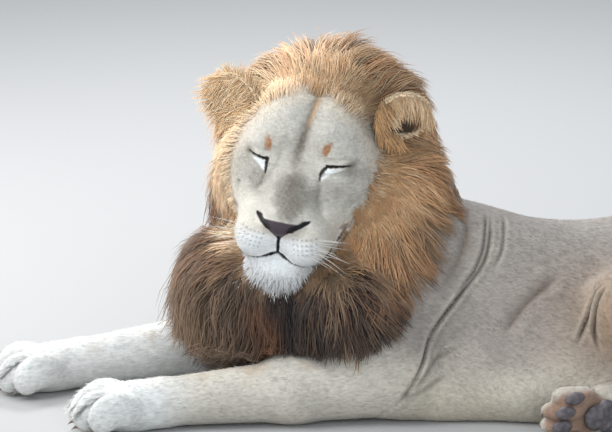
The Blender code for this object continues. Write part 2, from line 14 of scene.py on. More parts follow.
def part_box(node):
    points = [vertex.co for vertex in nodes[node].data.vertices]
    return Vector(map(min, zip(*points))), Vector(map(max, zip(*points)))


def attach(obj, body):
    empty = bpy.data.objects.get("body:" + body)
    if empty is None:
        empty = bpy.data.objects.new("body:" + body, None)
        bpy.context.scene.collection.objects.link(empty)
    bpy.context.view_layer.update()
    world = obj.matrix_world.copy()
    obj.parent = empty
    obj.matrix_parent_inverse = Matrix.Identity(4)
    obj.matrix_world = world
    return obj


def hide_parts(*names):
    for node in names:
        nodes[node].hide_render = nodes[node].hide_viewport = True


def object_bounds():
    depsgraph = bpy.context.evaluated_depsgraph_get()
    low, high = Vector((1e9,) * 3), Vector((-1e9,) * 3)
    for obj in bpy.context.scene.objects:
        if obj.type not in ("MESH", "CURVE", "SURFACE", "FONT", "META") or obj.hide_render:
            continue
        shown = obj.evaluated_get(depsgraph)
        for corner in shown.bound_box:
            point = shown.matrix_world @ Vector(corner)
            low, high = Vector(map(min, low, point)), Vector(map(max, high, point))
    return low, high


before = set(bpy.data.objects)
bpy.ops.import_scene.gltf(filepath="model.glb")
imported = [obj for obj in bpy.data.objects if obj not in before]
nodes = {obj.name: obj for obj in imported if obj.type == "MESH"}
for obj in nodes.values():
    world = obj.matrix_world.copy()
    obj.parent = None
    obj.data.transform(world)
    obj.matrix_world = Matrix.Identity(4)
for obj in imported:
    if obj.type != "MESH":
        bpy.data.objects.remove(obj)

cad_low, cad_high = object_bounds()

# ---------------------------------------------------------------- sizes

HEAD_YAW, HEAD_PITCH, HEAD_ROLL = 61.0, 7.0, 9.5  # as the frame's head is turned
EYE_DEPTH, EYE_DROP = 0.027, -0.001  # the middle of the eyes' centres from the point between the eyes
EYE_RADIUS = 0.0185

FOOT_COAT, BODY_COAT, MANE_COAT = 0.004, 0.006, 0.040  # how deep the coat is
MANE_LOCKS, BODY_HAIRS, LIMB_HAIRS, FACE_HAIRS, RIM_HAIRS = 47500, 38000, 32000, 36000, 7000
SKIN_VOXEL = 0.0095
GROUND = 0.002

VIEW_AZIMUTH, VIEW_HEIGHT, VIEW_DISTANCE = 72.0, 15.0, 10.0
VIEW_TARGET = Vector((0.0652, -0.5435, 0.3845))
VIEW_LENS, SENSOR = 300.0, 36.0

UP = Vector((0, 0, 1))


# ---------------------------------------------------------------- helpers


def deselect():
    if bpy.context.mode != "OBJECT":
        bpy.ops.object.mode_set(mode="OBJECT")
    bpy.ops.object.select_all(action="DESELECT")


def choose(obj):
    deselect()
    obj.select_set(True)
    bpy.context.view_layer.objects.active = obj
    return obj


def apply_modifiers(obj):
    choose(obj)
    for modifier in list(obj.modifiers):
        bpy.ops.object.modifier_apply(modifier=modifier.name)
    return obj


def points_of(obj):
    flat = np.empty(len(obj.data.vertices) * 3)
    obj.data.vertices.foreach_get("co", flat)
    return flat.reshape(-1, 3)


def normals_of(obj):
    flat = np.empty(len(obj.data.vertices) * 3)
    obj.data.vertices.foreach_get("normal", flat)
    return flat.reshape(-1, 3)


def move_points(obj, points):
    obj.data.vertices.foreach_set("co", np.ascontiguousarray(points, np.float32).ravel())
    obj.data.update()


def smooth_step(value, low, high):
    t = np.clip((value - low) / (high - low), 0.0, 1.0)
    return t * t * (3 - 2 * t)


def unit(rows):
    return rows / np.maximum(np.linalg.norm(rows, axis=-1, keepdims=True), 1e-9)


def turn_matrix(turn):
    x, y, z = (math.radians(angle) for angle in turn)
    return np.array(Matrix.Rotation(z, 3, "Z") @ Matrix.Rotation(y, 3, "Y") @ Matrix.Rotation(x, 3, "X"))


def lumps(points, size, seed):
    """Smooth noise from -1 to 1 in lumps of about the given size."""
    rng = np.random.default_rng(seed)
    total = np.zeros(len(points))
    for _ in range(4):
        ways = unit(rng.normal(size=(3, 3))) * (2 * math.pi / size) * rng.uniform(0.6, 1.5, (3, 1))
        waves = np.sin(points @ ways.T + rng.uniform(0, 2 * math.pi, 3))
        total += waves[:, 0] * waves[:, 1] + 0.5 * waves[:, 2]
    return np.clip(total / 3.0, -1, 1)


def curve_through(knots, count):
    """Rows along a smooth curve through the rows given."""
    knots = np.array(knots, float)
    slopes = np.gradient(knots, axis=0)
    rows = []
    for u in np.linspace(0, len(knots) - 1, count):
        k = min(int(u), len(knots) - 2)
        f = u - k
        rows.append(
            (2 * f**3 - 3 * f**2 + 1) * knots[k]
            + (f**3 - 2 * f**2 + f) * slopes[k]
            + (3 * f**2 - 2 * f**3) * knots[k + 1]
            + (f**3 - f**2) * slopes[k + 1]
        )
    return np.array(rows)


def along(points, path):
    """Distance to a path of points, and how far along it the nearest place is, from 0 to 1."""
    best, where = np.full(len(points), 9.0), np.zeros(len(points))
    lengths = np.linalg.norm(np.diff(path, axis=0), axis=1)
    starts = np.concatenate(((0,), np.cumsum(lengths)))
    for a, b, start, length in zip(path[:-1], path[1:], starts, lengths):
        t = np.clip((points - a) @ (b - a) / max(length**2, 1e-12), 0, 1)
        d = np.linalg.norm(points - a - t[:, None] * (b - a), axis=1)
        nearer = d < best
        best[nearer], where[nearer] = d[nearer], ((start + t * length) / starts[-1])[nearer]
    return best, where


# ---------------------------------------------------------------- the head's own frame
# x is the lion's left, -y is ahead and z is up, from the point between the eyes.

HEAD = turn_matrix((0, 0, HEAD_YAW)) @ turn_matrix((HEAD_PITCH, 0, 0)) @ turn_matrix((0, HEAD_ROLL, 0))
eye_centres = [np.array(sum(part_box(name), Vector()) / 2) for name in ("eye_left", "eye_right")]
HEAD_AT = sum(eye_centres) / 2 - HEAD @ (0, EYE_DEPTH, EYE_DROP)


def in_head(points):
    return (points - HEAD_AT) @ HEAD


def from_head(points):
    return np.asarray(points) @ HEAD.T + HEAD_AT


# ---------------------------------------------------------------- masses
# Each mass is a mesh to fuse and a field that gives the distance outside it.

WORLD = (np.identity(3), np.zeros(3))
ON_HEAD = (HEAD, HEAD_AT)
meshes, fields = [], []


def egg_mesh(centre, axes, radii, detail=3):
    bpy.ops.mesh.primitive_ico_sphere_add(subdivisions=detail, radius=1.0, location=(0, 0, 0))
    obj = bpy.context.object
    shape = Matrix.Translation(Vector(centre)) @ Matrix(axes).to_4x4() @ Matrix.Diagonal((*radii, 1.0))
    obj.data.transform(shape)
    meshes.append(obj)


def egg_distance(points, centre, axes, radii):
    q = (points - centre) @ axes / radii
    k0 = np.sqrt((q * q).sum(1))
    k1 = np.sqrt(((q / radii) ** 2).sum(1))
    return k0 * (k0 - 1) / np.maximum(k1, 1e-6)


def ball(centre, radii, turn=(0, 0, 0), on=WORLD, blend=0.03, group="body"):
    """One egg-shaped mass; turn is a 3 x 3 matrix or degrees about X, Y and Z."""
    frame_axes, frame_at = on
    axes = frame_axes @ (turn if isinstance(turn, np.ndarray) else turn_matrix(turn))
    centre = frame_axes @ np.array(centre, float) + frame_at
    radii = np.array(radii, float)
    egg_mesh(centre, axes, radii)
    fields.append((lambda p: egg_distance(p, centre, axes, radii), centre, max(radii), blend, group))


def both(centre, radii, turn=(0, 0, 0), **more):
    ball(centre, radii, turn, **more)
    ball((-centre[0], centre[1], centre[2]), radii, (turn[0], -turn[1], -turn[2]), **more)


def bar(start, end, start_radius, end_radius, flatten=1.0, widen=1.0, on=WORLD, blend=0.03, group="body"):
    """A tapering rounded bar; widen and flatten stretch it along x and z of its frame."""
    frame_axes, frame_at = on
    start, end = np.array(start, float), np.array(end, float)
    stretch = np.array((widen, 1.0, flatten))
    for t in np.linspace(0, 1, 9):
        radius = start_radius + (end_radius - start_radius) * t
        centre = frame_axes @ (start + (end - start) * t) + frame_at
        egg_mesh(centre, frame_axes, radius * stretch, 2)
    a, b = start / stretch, end / stretch

    def distance(points):
        p = (points - frame_at) @ frame_axes / stretch
        t = np.clip((p - a) @ (b - a) / ((b - a) @ (b - a)), 0, 1)
        away = p - a - t[:, None] * (b - a)
        return np.sqrt((away * away).sum(1)) - (start_radius + (end_radius - start_radius) * t)

    centre = frame_axes @ ((start + end) / 2) + frame_at
    reach = np.linalg.norm(end - start) / 2 + max(start_radius, end_radius) * max(stretch)
    fields.append((distance, centre, reach, blend, group))


TRUNK = curve_through(
    (  # y, x, z, half width, half height, narrowing towards the back line, roll
        (-0.585, 0.00, 0.225, 0.070, 0.090, 0.00, 0),
        (-0.540, 0.00, 0.220, 0.130, 0.170, 0.05, 0),
        (-0.440, 0.00, 0.212, 0.180, 0.212, 0.15, 0),
        (-0.300, 0.01, 0.206, 0.214, 0.206, 0.24, 0),
        (-0.170, 0.040, 0.184, 0.262, 0.192, 0.30, 4),
        (-0.040, 0.060, 0.160, 0.286, 0.172, 0.28, 7),
        (0.090, 0.050, 0.150, 0.270, 0.160, 0.20, 8),
        (0.210, 0.025, 0.154, 0.236, 0.160, 0.12, 8),
        (0.330, 0.000, 0.160, 0.200, 0.166, 0.06, 6),
        (0.430, -0.010, 0.150, 0.160, 0.152, 0.00, 4),
        (0.500, -0.015, 0.130, 0.080, 0.090, 0.00, 0),
    ),
    49,
)


def trunk_mesh():
    """The rib cage, waist and hips as one loft of egg-shaped rings."""
    sides = 40
    angles = np.arange(sides) * 2 * math.pi / sides
    points = []
    for y, x, z, half_width, half_height, narrow, roll in TRUNK:
        across = (half_width - BODY_COAT) * np.cos(angles) * (1 - narrow * np.sin(angles))
        up = (half_height - BODY_COAT) * np.sin(angles)
        c, s = math.cos(math.radians(roll)), math.sin(math.radians(roll))
        points += [(x + a * c + b * s, y, z - a * s + b * c) for a, b in zip(across, up)]
    faces = []
    for ring in range(len(TRUNK) - 1):
        near, far = ring * sides, (ring + 1) * sides
        for i in range(sides):
            j = (i + 1) % sides
            faces.append((near + j, near + i, far + i, far + j))
    faces.append(tuple(range(sides)))
    faces.append(tuple(reversed(range(len(points) - sides, len(points)))))
    mesh = bpy.data.meshes.new("trunk")
    mesh.from_pydata(points, [], faces)
    obj = bpy.data.objects.new("trunk", mesh)
    bpy.context.collection.objects.link(obj)
    meshes.append(obj)


def trunk_distance(points):
    y = points[:, 1]
    measures = [np.interp(y, TRUNK[:, 0], TRUNK[:, k]) for k in range(1, 7)]
    x, z, half_width, half_height, narrow, roll = measures
    c, s = np.cos(np.radians(roll)), np.sin(np.radians(roll))
    dx, dz = points[:, 0] - x, points[:, 2] - z
    across, up = dx * c - dz * s, dx * s + dz * c
    half_width, half_height = half_width - BODY_COAT, half_height - BODY_COAT
    q_up = up / half_height
    q_across = across / (half_width * np.maximum(1 - narrow * np.clip(q_up, -1, 1), 0.3))
    k0 = np.hypot(q_across, q_up)
    k1 = np.hypot(q_across / half_width, q_up / half_height)
    inside = k0 * (k0 - 1) / np.maximum(k1, 1e-6)
    past = np.maximum(TRUNK[0, 0] - y, y - TRUNK[-1, 0])
    return np.where(past > 0, np.hypot(np.maximum(inside, 0), past), inside)


def torso_details():
    d = BODY_COAT
    # belly, sagging left
    ball((0.205, -0.070, 0.062), (0.172 - d, 0.235 - d, 0.112 - d), (0, 0, 6), blend=0.06)
    ball((0.182, -0.285, 0.052), (0.122 - d, 0.150 - d, 0.086 - d), blend=0.05)  # lower ribs
    ball((-0.105, 0.265, 0.120), (0.122 - d, 0.170 - d, 0.122 - d), (0, 0, 8), blend=0.05)  # right haunch
    ball((0.055, 0.250, 0.262), (0.045, 0.080, 0.040), (0, 20, 0), blend=0.05)  # hip bones
    ball((-0.045, 0.262, 0.258), (0.045, 0.080, 0.040), (0, -20, 0), blend=0.05)


fore = {
    "left": dict(
        side=1, shoulder=(0.150, -0.500, 0.220), elbow=(0.205, -0.410, 0.076),
        wrist=(0.122, -0.840, 0.049), toes=(0.107, -1.035, 0.036),
    ),
    "right": dict(
        side=-1, shoulder=(-0.150, -0.500, 0.220), elbow=(-0.205, -0.440, 0.076),
        wrist=(-0.196, -0.915, 0.049), toes=(-0.180, -1.115, 0.036),
    ),
}
hind = {
    "left": dict(hip=(0.050, 0.335, 0.235), knee=(0.295, 0.050, 0.205), hock=(0.440, 0.350, 0.048),
                 toes=(0.560, 0.075, 0.030), thigh=0.125, knee_radius=0.084),
    "right": dict(hip=(-0.060, 0.335, 0.110), knee=(0.120, 0.010, 0.085), hock=(0.362, 0.130, 0.046),
                  toes=(0.462, -0.190, 0.050), thigh=0.095, knee_radius=0.070),
}
TOE_PLACES, TOE_REACH = (-0.74, -0.26, 0.26, 0.74), (0.88, 1.0, 1.0, 0.88)
SOLE_LEFT = Vector((0.12, 0.0, 1.0)).normalized()  # across the right hind foot, whose sole faces left


def paw(wrist, toes, across, half_width, size):
    ahead = (toes - wrist).normalized()
    above = across.cross(ahead).normalized()
    turn = np.array(Matrix((across, ahead, above)).transposed())
    length = (toes - wrist).length
    d = FOOT_COAT
    ball(wrist.lerp(toes, 0.36), (half_width * 0.84 - d, length * 0.46, 0.055 * size - d), turn, blend=0.03,
         group="leg")
    for place, reach in zip(TOE_PLACES, TOE_REACH):
        tip = wrist.lerp(toes, reach) + across * place * half_width
        knuckle = tip - ahead * 0.052 * size + above * 0.015 * size
        first = (0.0225 * size - d * 0.6, 0.044 * size, 0.036 * size - d * 0.6)
        last = (0.0198 * size - d * 0.5, 0.028 * size, 0.032 * size - d * 0.6)
        outer = abs(place) > 0.5
        ball(knuckle, first, turn, blend=0.026 if outer else 0.009, group="leg")
        ball(tip - ahead * 0.026 * size, last, turn, blend=0.012 if outer else 0.006, group="leg")


def foreleg(name):
    leg = fore[name]
    side, d = leg["side"], BODY_COAT
    shoulder, elbow, wrist, toes = (Vector(leg[key]) for key in ("shoulder", "elbow", "wrist", "toes"))
    middle = elbow.lerp(wrist, 0.45)
    ball((side * 0.135, -0.350, 0.290), (0.060 - d, 0.120 - d, 0.150 - d), (28, side * -14, 0), blend=0.05)
    ball((side * 0.165, -0.360, 0.190), (0.068 - d, 0.120 - d, 0.120 - d), (20, 0, 0), blend=0.05,
         group="leg")
    bar(shoulder, elbow + Vector((0, 0.01, 0.03)), 0.085 - d, 0.080 - d, blend=0.04, group="leg")
    bar(elbow, middle, 0.077 - d, 0.069 - d, blend=0.04, group="leg")
    bar(middle, wrist, 0.067 - d, 0.053 - d, blend=0.03, group="leg")
    paw(wrist, toes, (toes - wrist).cross(UP).normalized(), 0.070, 1.0)


def hindleg(name):
    leg = hind[name]
    hip, knee, hock, toes = (Vector(leg[key]) for key in ("hip", "knee", "hock", "toes"))
    d, knee_radius = BODY_COAT, leg["knee_radius"]
    bar(hip, knee, leg["thigh"] - d, knee_radius - d, 0.86, blend=0.04, group="leg")
    bar(knee, hock, knee_radius * 0.96 - d, 0.050 - d, blend=0.03, group="leg")
    bar(hock, hock.lerp(toes, 0.5), 0.048 - d, 0.044 - d, blend=0.02, group="leg")
    across = SOLE_LEFT if name == "right" else (toes - hock).cross(UP).normalized()
    paw(hock.lerp(toes, 0.40), toes, across, 0.056, 0.86)


TAIL_ROUTE = (
    (-0.030, 0.450, 0.130), (-0.020, 0.560, 0.050), (0.060, 0.690, 0.0205),
    (0.210, 0.780, 0.0195), (0.380, 0.800, 0.0190), (0.540, 0.740, 0.0185),
)
TUFT_END = (0.680, 0.600, 0.030)
tail_line = curve_through(TAIL_ROUTE, 70)
tuft_line = curve_through((TAIL_ROUTE[-2], TAIL_ROUTE[-1], TUFT_END), 21)[10:]


def tail():
    for i in range(0, len(tail_line) - 3, 3):
        radii = [0.024 * (1.7 - 0.85 * min(1.0, k / 18)) - 0.004 for k in (i, i + 3)]
        bar(tail_line[i], tail_line[i + 3], *radii, blend=0.01, group="tail")
    low = [np.array((point[0], point[1], 0.0185)) for point in (tuft_line[0], tuft_line[7])]
    bar(*low, 0.013, 0.007, blend=0.01, group="tail")


def neck():
    """The neck and chest under the mane."""
    d = MANE_COAT
    mane = dict(group="mane", blend=0.05)
    ball((0.025, 0.240, -0.035), (0.242 - d, 0.122 - d * 0.4, 0.218 - d), on=ON_HEAD, **mane)
    ball((0.015, 0.185, 0.118), (0.100 - d * 0.9, 0.100 - d * 0.6, 0.078 - d * 0.9), on=ON_HEAD, **mane)
    ball((0.015, 0.170, -0.150), (0.222 - d * 1.1, 0.125 - d, 0.172 - d), on=ON_HEAD, **mane)
    ball((-0.030, -0.380, 0.350), (0.190 - d, 0.190 - d, 0.180 - d), (0, 0, 20), **mane)
    ball((0.105, -0.352, 0.285), (0.100 - d * 0.7, 0.110 - d * 0.7, 0.150 - d), (24, 0, 0), **mane)
    ball((0.010, -0.330, 0.432), (0.156 - d, 0.145 - d, 0.102 - d), (-10, 0, 0), **mane)
    ball((-0.095, -0.290, 0.370), (0.130 - d, 0.115 - d, 0.130 - d), **mane)
    ball((-0.015, -0.600, 0.215), (0.205 - d, 0.200 - d, 0.170 - d), **mane)
    ball((-0.035, -0.620, 0.110), (0.140 - d, 0.165 - d, 0.105 - d * 0.5), **mane)


def head():
    h = dict(on=ON_HEAD, group="head")
    ball((0, 0.150, 0.016), (0.124, 0.110, 0.098), blend=0.02, **h)  # braincase
    both((0.038, 0.094, 0.040), (0.072, 0.078, 0.076), blend=0.024, **h)  # two lobes of the forehead
    both((0.094, 0.092, -0.034), (0.060, 0.080, 0.062), (0, 0, -12), blend=0.050, **h)  # cheekbones
    both((0.098, 0.112, -0.100), (0.056, 0.084, 0.074), (0, 0, -8), blend=0.050, **h)  # chewing muscles
    both((0.056, 0.048, -0.044), (0.054, 0.052, 0.054), blend=0.045, **h)  # under the eyes
    both((0.062, 0.042, 0.026), (0.040, 0.030, 0.020), (0, 14, -16), blend=0.018, **h)  # brows
    # bridge of the nose
    bar((0, 0.040, -0.020), (0, -0.070, -0.084), 0.036, 0.030, 0.95, 1.42, blend=0.030, **h)
    ball((0, -0.010, -0.104), (0.078, 0.100, 0.050), (6, 0, 0), blend=0.035, **h)  # upper jaw
    both((0.045, -0.076, -0.122), (0.042, 0.051, 0.048), (0, 0, 12), blend=0.020, **h)  # whisker pads
    both((0.062, -0.036, -0.131), (0.034, 0.064, 0.042), (-12, 0, -10), blend=0.025, **h)  # hanging lips
    # corners of the mouth
    both((0.080, 0.030, -0.100), (0.038, 0.060, 0.036), (-30, 0, -14), blend=0.030, **h)
    ball((0, -0.108, -0.084), (0.043, 0.026, 0.020), (-14, 0, 0), blend=0.012, **h)  # nose leather
    ball((0, -0.004, -0.166), (0.070, 0.092, 0.040), (6, 0, 0), blend=0.020, **h)  # lower jaw
    ball((0, -0.068, -0.188), (0.057, 0.044, 0.036), blend=0.018, **h)  # chin
    ball((0, 0.120, -0.136), (0.100, 0.096, 0.080), blend=0.030, **h)  # throat
    for centre in eye_centres:
        ball(in_head(centre), (EYE_RADIUS + 0.0045,) * 3, blend=0.012, **h)  # closed lids


EARS = {"left": (1, (0.178, 0.118, 0.101)), "right": (-1, (-0.157, 0.118, 0.066))}
EAR_RADII, EAR_WALL, EAR_CUT = np.array((0.048, 0.032, 0.050)), 0.0075, -0.12
EAR_ROUGH_WALL = 0.013  # thick enough to fuse, and then thinned
ear_frames = {}


def ear(name):
    """A round cup, cut open at its front."""
    side, centre = EARS[name]
    axes = HEAD @ turn_matrix((0, side * 40, 0)) @ turn_matrix((0, 0, side * 20))
    centre = from_head(centre)
    ear_frames[name] = (axes, centre)
    bpy.ops.mesh.primitive_uv_sphere_add(segments=32, ring_count=20, radius=1.0)
    obj = choose(bpy.context.object)
    bpy.ops.object.mode_set(mode="EDIT")
    bpy.ops.mesh.select_all(action="SELECT")
    bpy.ops.mesh.bisect(plane_co=(0, EAR_CUT, 0), plane_no=(0, -1, 0), clear_outer=True)
    bpy.ops.object.mode_set(mode="OBJECT")
    shape = Matrix.Translation(Vector(centre)) @ Matrix(axes).to_4x4() @ Matrix.Diagonal((*EAR_RADII, 1.0))
    obj.data.transform(shape)
    wall = obj.modifiers.new("wall", "SOLIDIFY")
    wall.thickness = EAR_ROUGH_WALL
    wall.offset = -1.0
    apply_modifiers(obj)
    meshes.append(obj)

    def distance(points):
        shell = np.abs(egg_distance(points, centre, axes, EAR_RADII) + EAR_WALL / 2) - EAR_WALL / 2
        ahead = EAR_CUT * EAR_RADII[1] - ((points - centre) @ axes)[:, 1]
        return np.maximum(shell, ahead)

    fields.append((distance, centre, max(EAR_RADII), 0.010, "ear"))


def skin_distance(points, margin=0.06):
    """Distance outside the masses as smoothly joined."""
    total = trunk_distance(points)
    for field, centre, reach, blend, _ in fields:
        near = np.flatnonzero(((points - centre) ** 2).sum(1) < (reach + margin) ** 2)
        if len(near):
            a, b = total[near], field(points[near])
            h = np.maximum(blend - np.abs(a - b), 0) / blend
            total[near] = np.minimum(a, b) - h * h * blend / 4
    return total


def group_distance(points, *groups):
    total = np.full(len(points), 9.0)
    for field, _, _, _, group in fields:
        if group in groups:
            total = np.minimum(total, field(points))
    return total


def skin_slope(points, margin=0.15):
    """The distance outside the skin, and the way out."""
    step = 0.002
    here = skin_distance(points, margin)
    ways = [skin_distance(points + step * np.identity(3)[k], margin) - here for k in range(3)]
    return here, unit(np.stack(ways, 1))


def split_finer(obj, wanted):
    """Cuts each face once both ways where all its points are wanted."""
    mesh = obj.data
    starts = np.empty(len(mesh.polygons), int)
    mesh.polygons.foreach_get("loop_start", starts)
    corners = np.empty(len(mesh.loops), int)
    mesh.loops.foreach_get("vertex_index", corners)
    flags = np.minimum.reduceat(wanted[corners].astype(int), starts).astype(bool)
    choose(obj)
    bpy.ops.object.mode_set(mode="EDIT")
    bpy.ops.mesh.select_mode(type="FACE")
    bpy.ops.mesh.select_all(action="DESELECT")
    bpy.ops.object.mode_set(mode="OBJECT")
    mesh.polygons.foreach_set("select", flags)
    mesh.update()
    bpy.ops.object.mode_set(mode="EDIT")
    bpy.ops.mesh.subdivide(number_cuts=1, smoothness=0.0)
    bpy.ops.object.mode_set(mode="OBJECT")


def settle(obj, rounds):
    """Moves the mesh on to the smoothly joined masses."""
    for _ in range(rounds):
        points = points_of(obj)
        away = np.clip(skin_distance(points, 0.03), -0.012, 0.012)
        move_points(obj, points - away[:, None] * normals_of(obj) * 0.9)


def relax(obj, rounds, factor=0.5):
    soften = obj.modifiers.new("soften", "SMOOTH")
    soften.factor = factor
    soften.iterations = rounds
    apply_modifiers(obj)


def make_skin():
    trunk_mesh()
    torso_details()
    for name in ("left", "right"):
        foreleg(name)
        hindleg(name)
    tail()
    neck()
    head()
    for name in EARS:
        ear(name)
    deselect()
    for obj in meshes:
        obj.select_set(True)
    bpy.context.view_layer.objects.active = meshes[0]
    bpy.ops.object.join()
    obj = bpy.context.object
    obj.name = "skin"
    remesh = obj.modifiers.new("fuse", "REMESH")
    remesh.mode = "VOXEL"
    remesh.voxel_size = SKIN_VOXEL
    apply_modifiers(obj)
    relax(obj, 2)
    settle(obj, 3)
    relax(obj, 2)
    obj.data.materials.clear()
    obj.data.shade_smooth()
    return obj


deselect()
skin = make_skin()


# ---------------------------------------------------------------- the face's landmarks, in the head's frame

FACE_MIDDLE = np.array((0.0, -0.040))
FACE_UP, FACE_DOWN, FACE_LEFT, FACE_RIGHT = 0.165, 0.190, 0.155, 0.140  # reach of the face's short coat
BROW_ROUND, CHIN_ROUND = 2.0, 1.5  # a true oval above, and drawn to a point towards the chin


def hairline_reach(angle):
    """How far from the middle of the face its short coat goes, for an angle from straight up."""
    across, up = np.sin(angle), np.cos(angle)
    wide = np.where(across > 0, FACE_LEFT, FACE_RIGHT)
    tall = np.where(up > 0, FACE_UP, FACE_DOWN)
    power = np.where(up > 0, BROW_ROUND, CHIN_ROUND)
    return (np.abs(across / wide) ** power + np.abs(up / tall) ** power) ** (-1 / power)


def closed_eye(inner, outer, bow, tear_end, spot, crease_end):
    """The lines of a closed eye, in x and z, from its corners and the ends of its tear line and crease."""
    inner, outer, tear_end, crease_end = map(np.array, (inner, outer, tear_end, crease_end))
    outward = np.array((np.sign(inner[0]), 1.0))
    share = np.linspace(0, 1, 5)[:, None]
    slit = inner + share * (outer - inner) + 4 * share * (1 - share) * np.array((0, bow))
    tear = (inner, np.array((tear_end[0], (inner[1] + tear_end[1]) / 2)), tear_end)
    white = (inner + outward * (0.002, -0.0025), tear_end + outward * (0.003, 0.002), slit[3] - (0, 0.006))
    crease = (tear_end, tear_end + (crease_end - tear_end) * (0.2, 0.5), crease_end)
    return dict(slit=slit, tear=np.array(tear), brow=spot, white=np.array(white), crease=np.array(crease))


EYES = {
    "left": closed_eye(inner=(0.057, 0.007), outer=(0.101, 0.014), bow=0.002, tear_end=(0.048, -0.019),
                       spot=(0.051, 0.039), crease_end=(0.070, -0.074)),
    "right": closed_eye(inner=(-0.061, 0.000), outer=(-0.101, 0.005), bow=-0.001, tear_end=(-0.061, -0.025),
                        spot=(-0.065, 0.029), crease_end=(-0.082, -0.066)),
}


def hairline_distance(local):
    """How far a point of the head lies beyond the face's edge, towards the mane."""
    flat = local[:, (0, 2)] - FACE_MIDDLE
    angle, radius = np.arctan2(flat[:, 0], flat[:, 1]), np.hypot(flat[:, 0], flat[:, 1])
    limit = hairline_reach(angle)
    furthest_back = np.interp(local[:, 2], (-0.24, -0.19, -0.14, -0.06), (-0.030, -0.015, 0.060, 0.135))
    return np.maximum(radius - limit, local[:, 1] - furthest_back)


SHOULDER_FOLD = (  # from the withers down behind the shoulder to the floor
    (0.080, -0.165, 0.365), (0.200, -0.220, 0.300), (0.235, -0.320, 0.200), (0.280, -0.390, 0.100),
    (0.280, -0.450, 0.010),
)
FOLD_BEND = 0.42  # the share of that fold where the shorter ones beside it end
ELBOW, KNEE = np.array(fore["left"]["elbow"]), np.array(hind["left"]["knee"])


def beside(forward, end):
    """A fold that runs along the shoulder's, moved towards the head, down to a share of its length."""
    rows = curve_through(SHOULDER_FOLD, 41)
    return rows[: int(end * 40) + 1 : 4] - np.array((0, forward, 0))


FOLDS = {  # paths on the left side of the body, with their depth and half width
    "shoulder back": (SHOULDER_FOLD, 0.0062, 0.0042),
    "shoulder front": (beside(0.011, FOLD_BEND), 0.0048, 0.0038),
    "shoulder hollow": (beside(0.052, FOLD_BEND), 0.0045, 0.0110),
    "shoulder last": (beside(-0.030, FOLD_BEND - 0.12), 0.0025, 0.0040),
    "armpit upper": (
        ELBOW + ((0.085, 0.005, -0.005), (0.055, 0.070, 0.050), (0.045, 0.130, 0.075)), 0.0018, 0.0050,
    ),
    "armpit lower": (
        ELBOW + ((0.085, 0.010, -0.015), (0.080, 0.050, 0.005), (0.070, 0.090, 0.025)), 0.0012, 0.0050,
    ),
    "flank": (
        KNEE + ((-0.015, -0.260, -0.035), (-0.030, -0.200, 0.025), (-0.070, -0.120, 0.060)), 0.0055, 0.0120,
    ),
    "knee front": (
        KNEE + ((0.000, -0.055, 0.055), (0.010, -0.095, -0.015), (0.040, -0.125, -0.050)), 0.0060, 0.0046,
    ),
    "knee back": (
        KNEE + ((0.015, -0.055, 0.055), (0.025, -0.085, -0.015), (0.045, -0.080, -0.065)), 0.0060, 0.0044,
    ),
}
SCARS_AND_ARMPIT_SHADE = (  # small dark scars and spots on the coat, and painted shade in the armpit's hollow: place, radius
    (ELBOW + (0.005, -0.240, 0.025), 0.0042), (ELBOW + (0.085, 0.000, -0.010), 0.0090),
    (ELBOW + (0.055, -0.030, 0.015), 0.0030), (KNEE + (-0.035, -0.235, 0.045), 0.0032),
)


points = points_of(skin)
local = in_head(points)
face = (hairline_distance(local) < 0.012) & (local[:, 1] < 0.12) & (np.abs(local[:, 0]) < 0.2)
ears = group_distance(points, "ear") < 0.010
creased = np.zeros(len(points), bool)
for path, _, width in FOLDS.values():
    creased |= along(points, curve_through(path, 21))[0] < 0.020 + width
for leg in (fore["left"], fore["right"], hind["left"], hind["right"]):
    creased |= np.linalg.norm(points - np.array(leg["toes"]), axis=1) < 0.105
split_finer(skin, face | ears | (creased & (points[:, 2] > 0.006)))
points = points_of(skin)
local = in_head(points)
fine = np.zeros(len(points), bool)
for path, _, width in FOLDS.values():
    fine |= along(points, curve_through(path, 21))[0] < min(0.012, 2.6 * width) * (width < 0.01)
for centre in eye_centres:
    fine |= np.linalg.norm(local - in_head(centre) - (0, -0.012, 0), axis=1) < 0.038
lips = (
    (local[:, 1] < 0.02) & (local[:, 2] < -0.055) & (local[:, 2] > -0.178) & (np.abs(local[:, 0]) < 0.125)
)
split_finer(skin, fine | lips)
settle(skin, 3)
relax(skin, 1)


def head_tree(obj):
    return BVHTree.FromPolygons(in_head(points_of(obj)).tolist(),
                                [tuple(p.vertices) for p in obj.data.polygons])


tree = head_tree(skin)


def on_face(spots):
    """Points of the face's front at the x and z given, in the head's frame."""
    found = []
    for x, z in spots:
        hit = tree.ray_cast(Vector((x, -0.4, z)), Vector((0, 1, 0)))[0]
        found.append(hit if hit else Vector((x, 0.0, z)))
    return np.array(found)


def bell(distance, width):
    return np.exp(-((distance / width) ** 2))


MOUTH = curve_through(((0.000, -0.146), (0.038, -0.163), (0.076, -0.169), (0.113, -0.113)), 9)


def mouth_path(side):
    return on_face([(side * x, z) for x, z in MOUTH])


NOSE_TOP = -0.0705


def nose_mask(local):
    """1 on the nose's bare leather, in the head's frame: a wide T with wings that sweep out and up."""
    x, z = np.abs(local[:, 0]), local[:, 2]
    top = np.interp(x, (0, 0.012, 0.025, 0.036, 0.052), (-0.0700, -0.0705, -0.0715, -0.0735, -0.0725))
    low = np.interp(x, (0, 0.004, 0.010, 0.020, 0.027, 0.038, 0.054),
                    (-0.116, -0.110, -0.100, -0.0890, -0.0830, -0.0795, -0.0750))
    inside = smooth_step(top - z, -0.001, 0.001) * smooth_step(z - low, -0.001, 0.001)
    return inside * (local[:, 1] < -0.075) * smooth_step(0.055 - x, 0, 0.002)


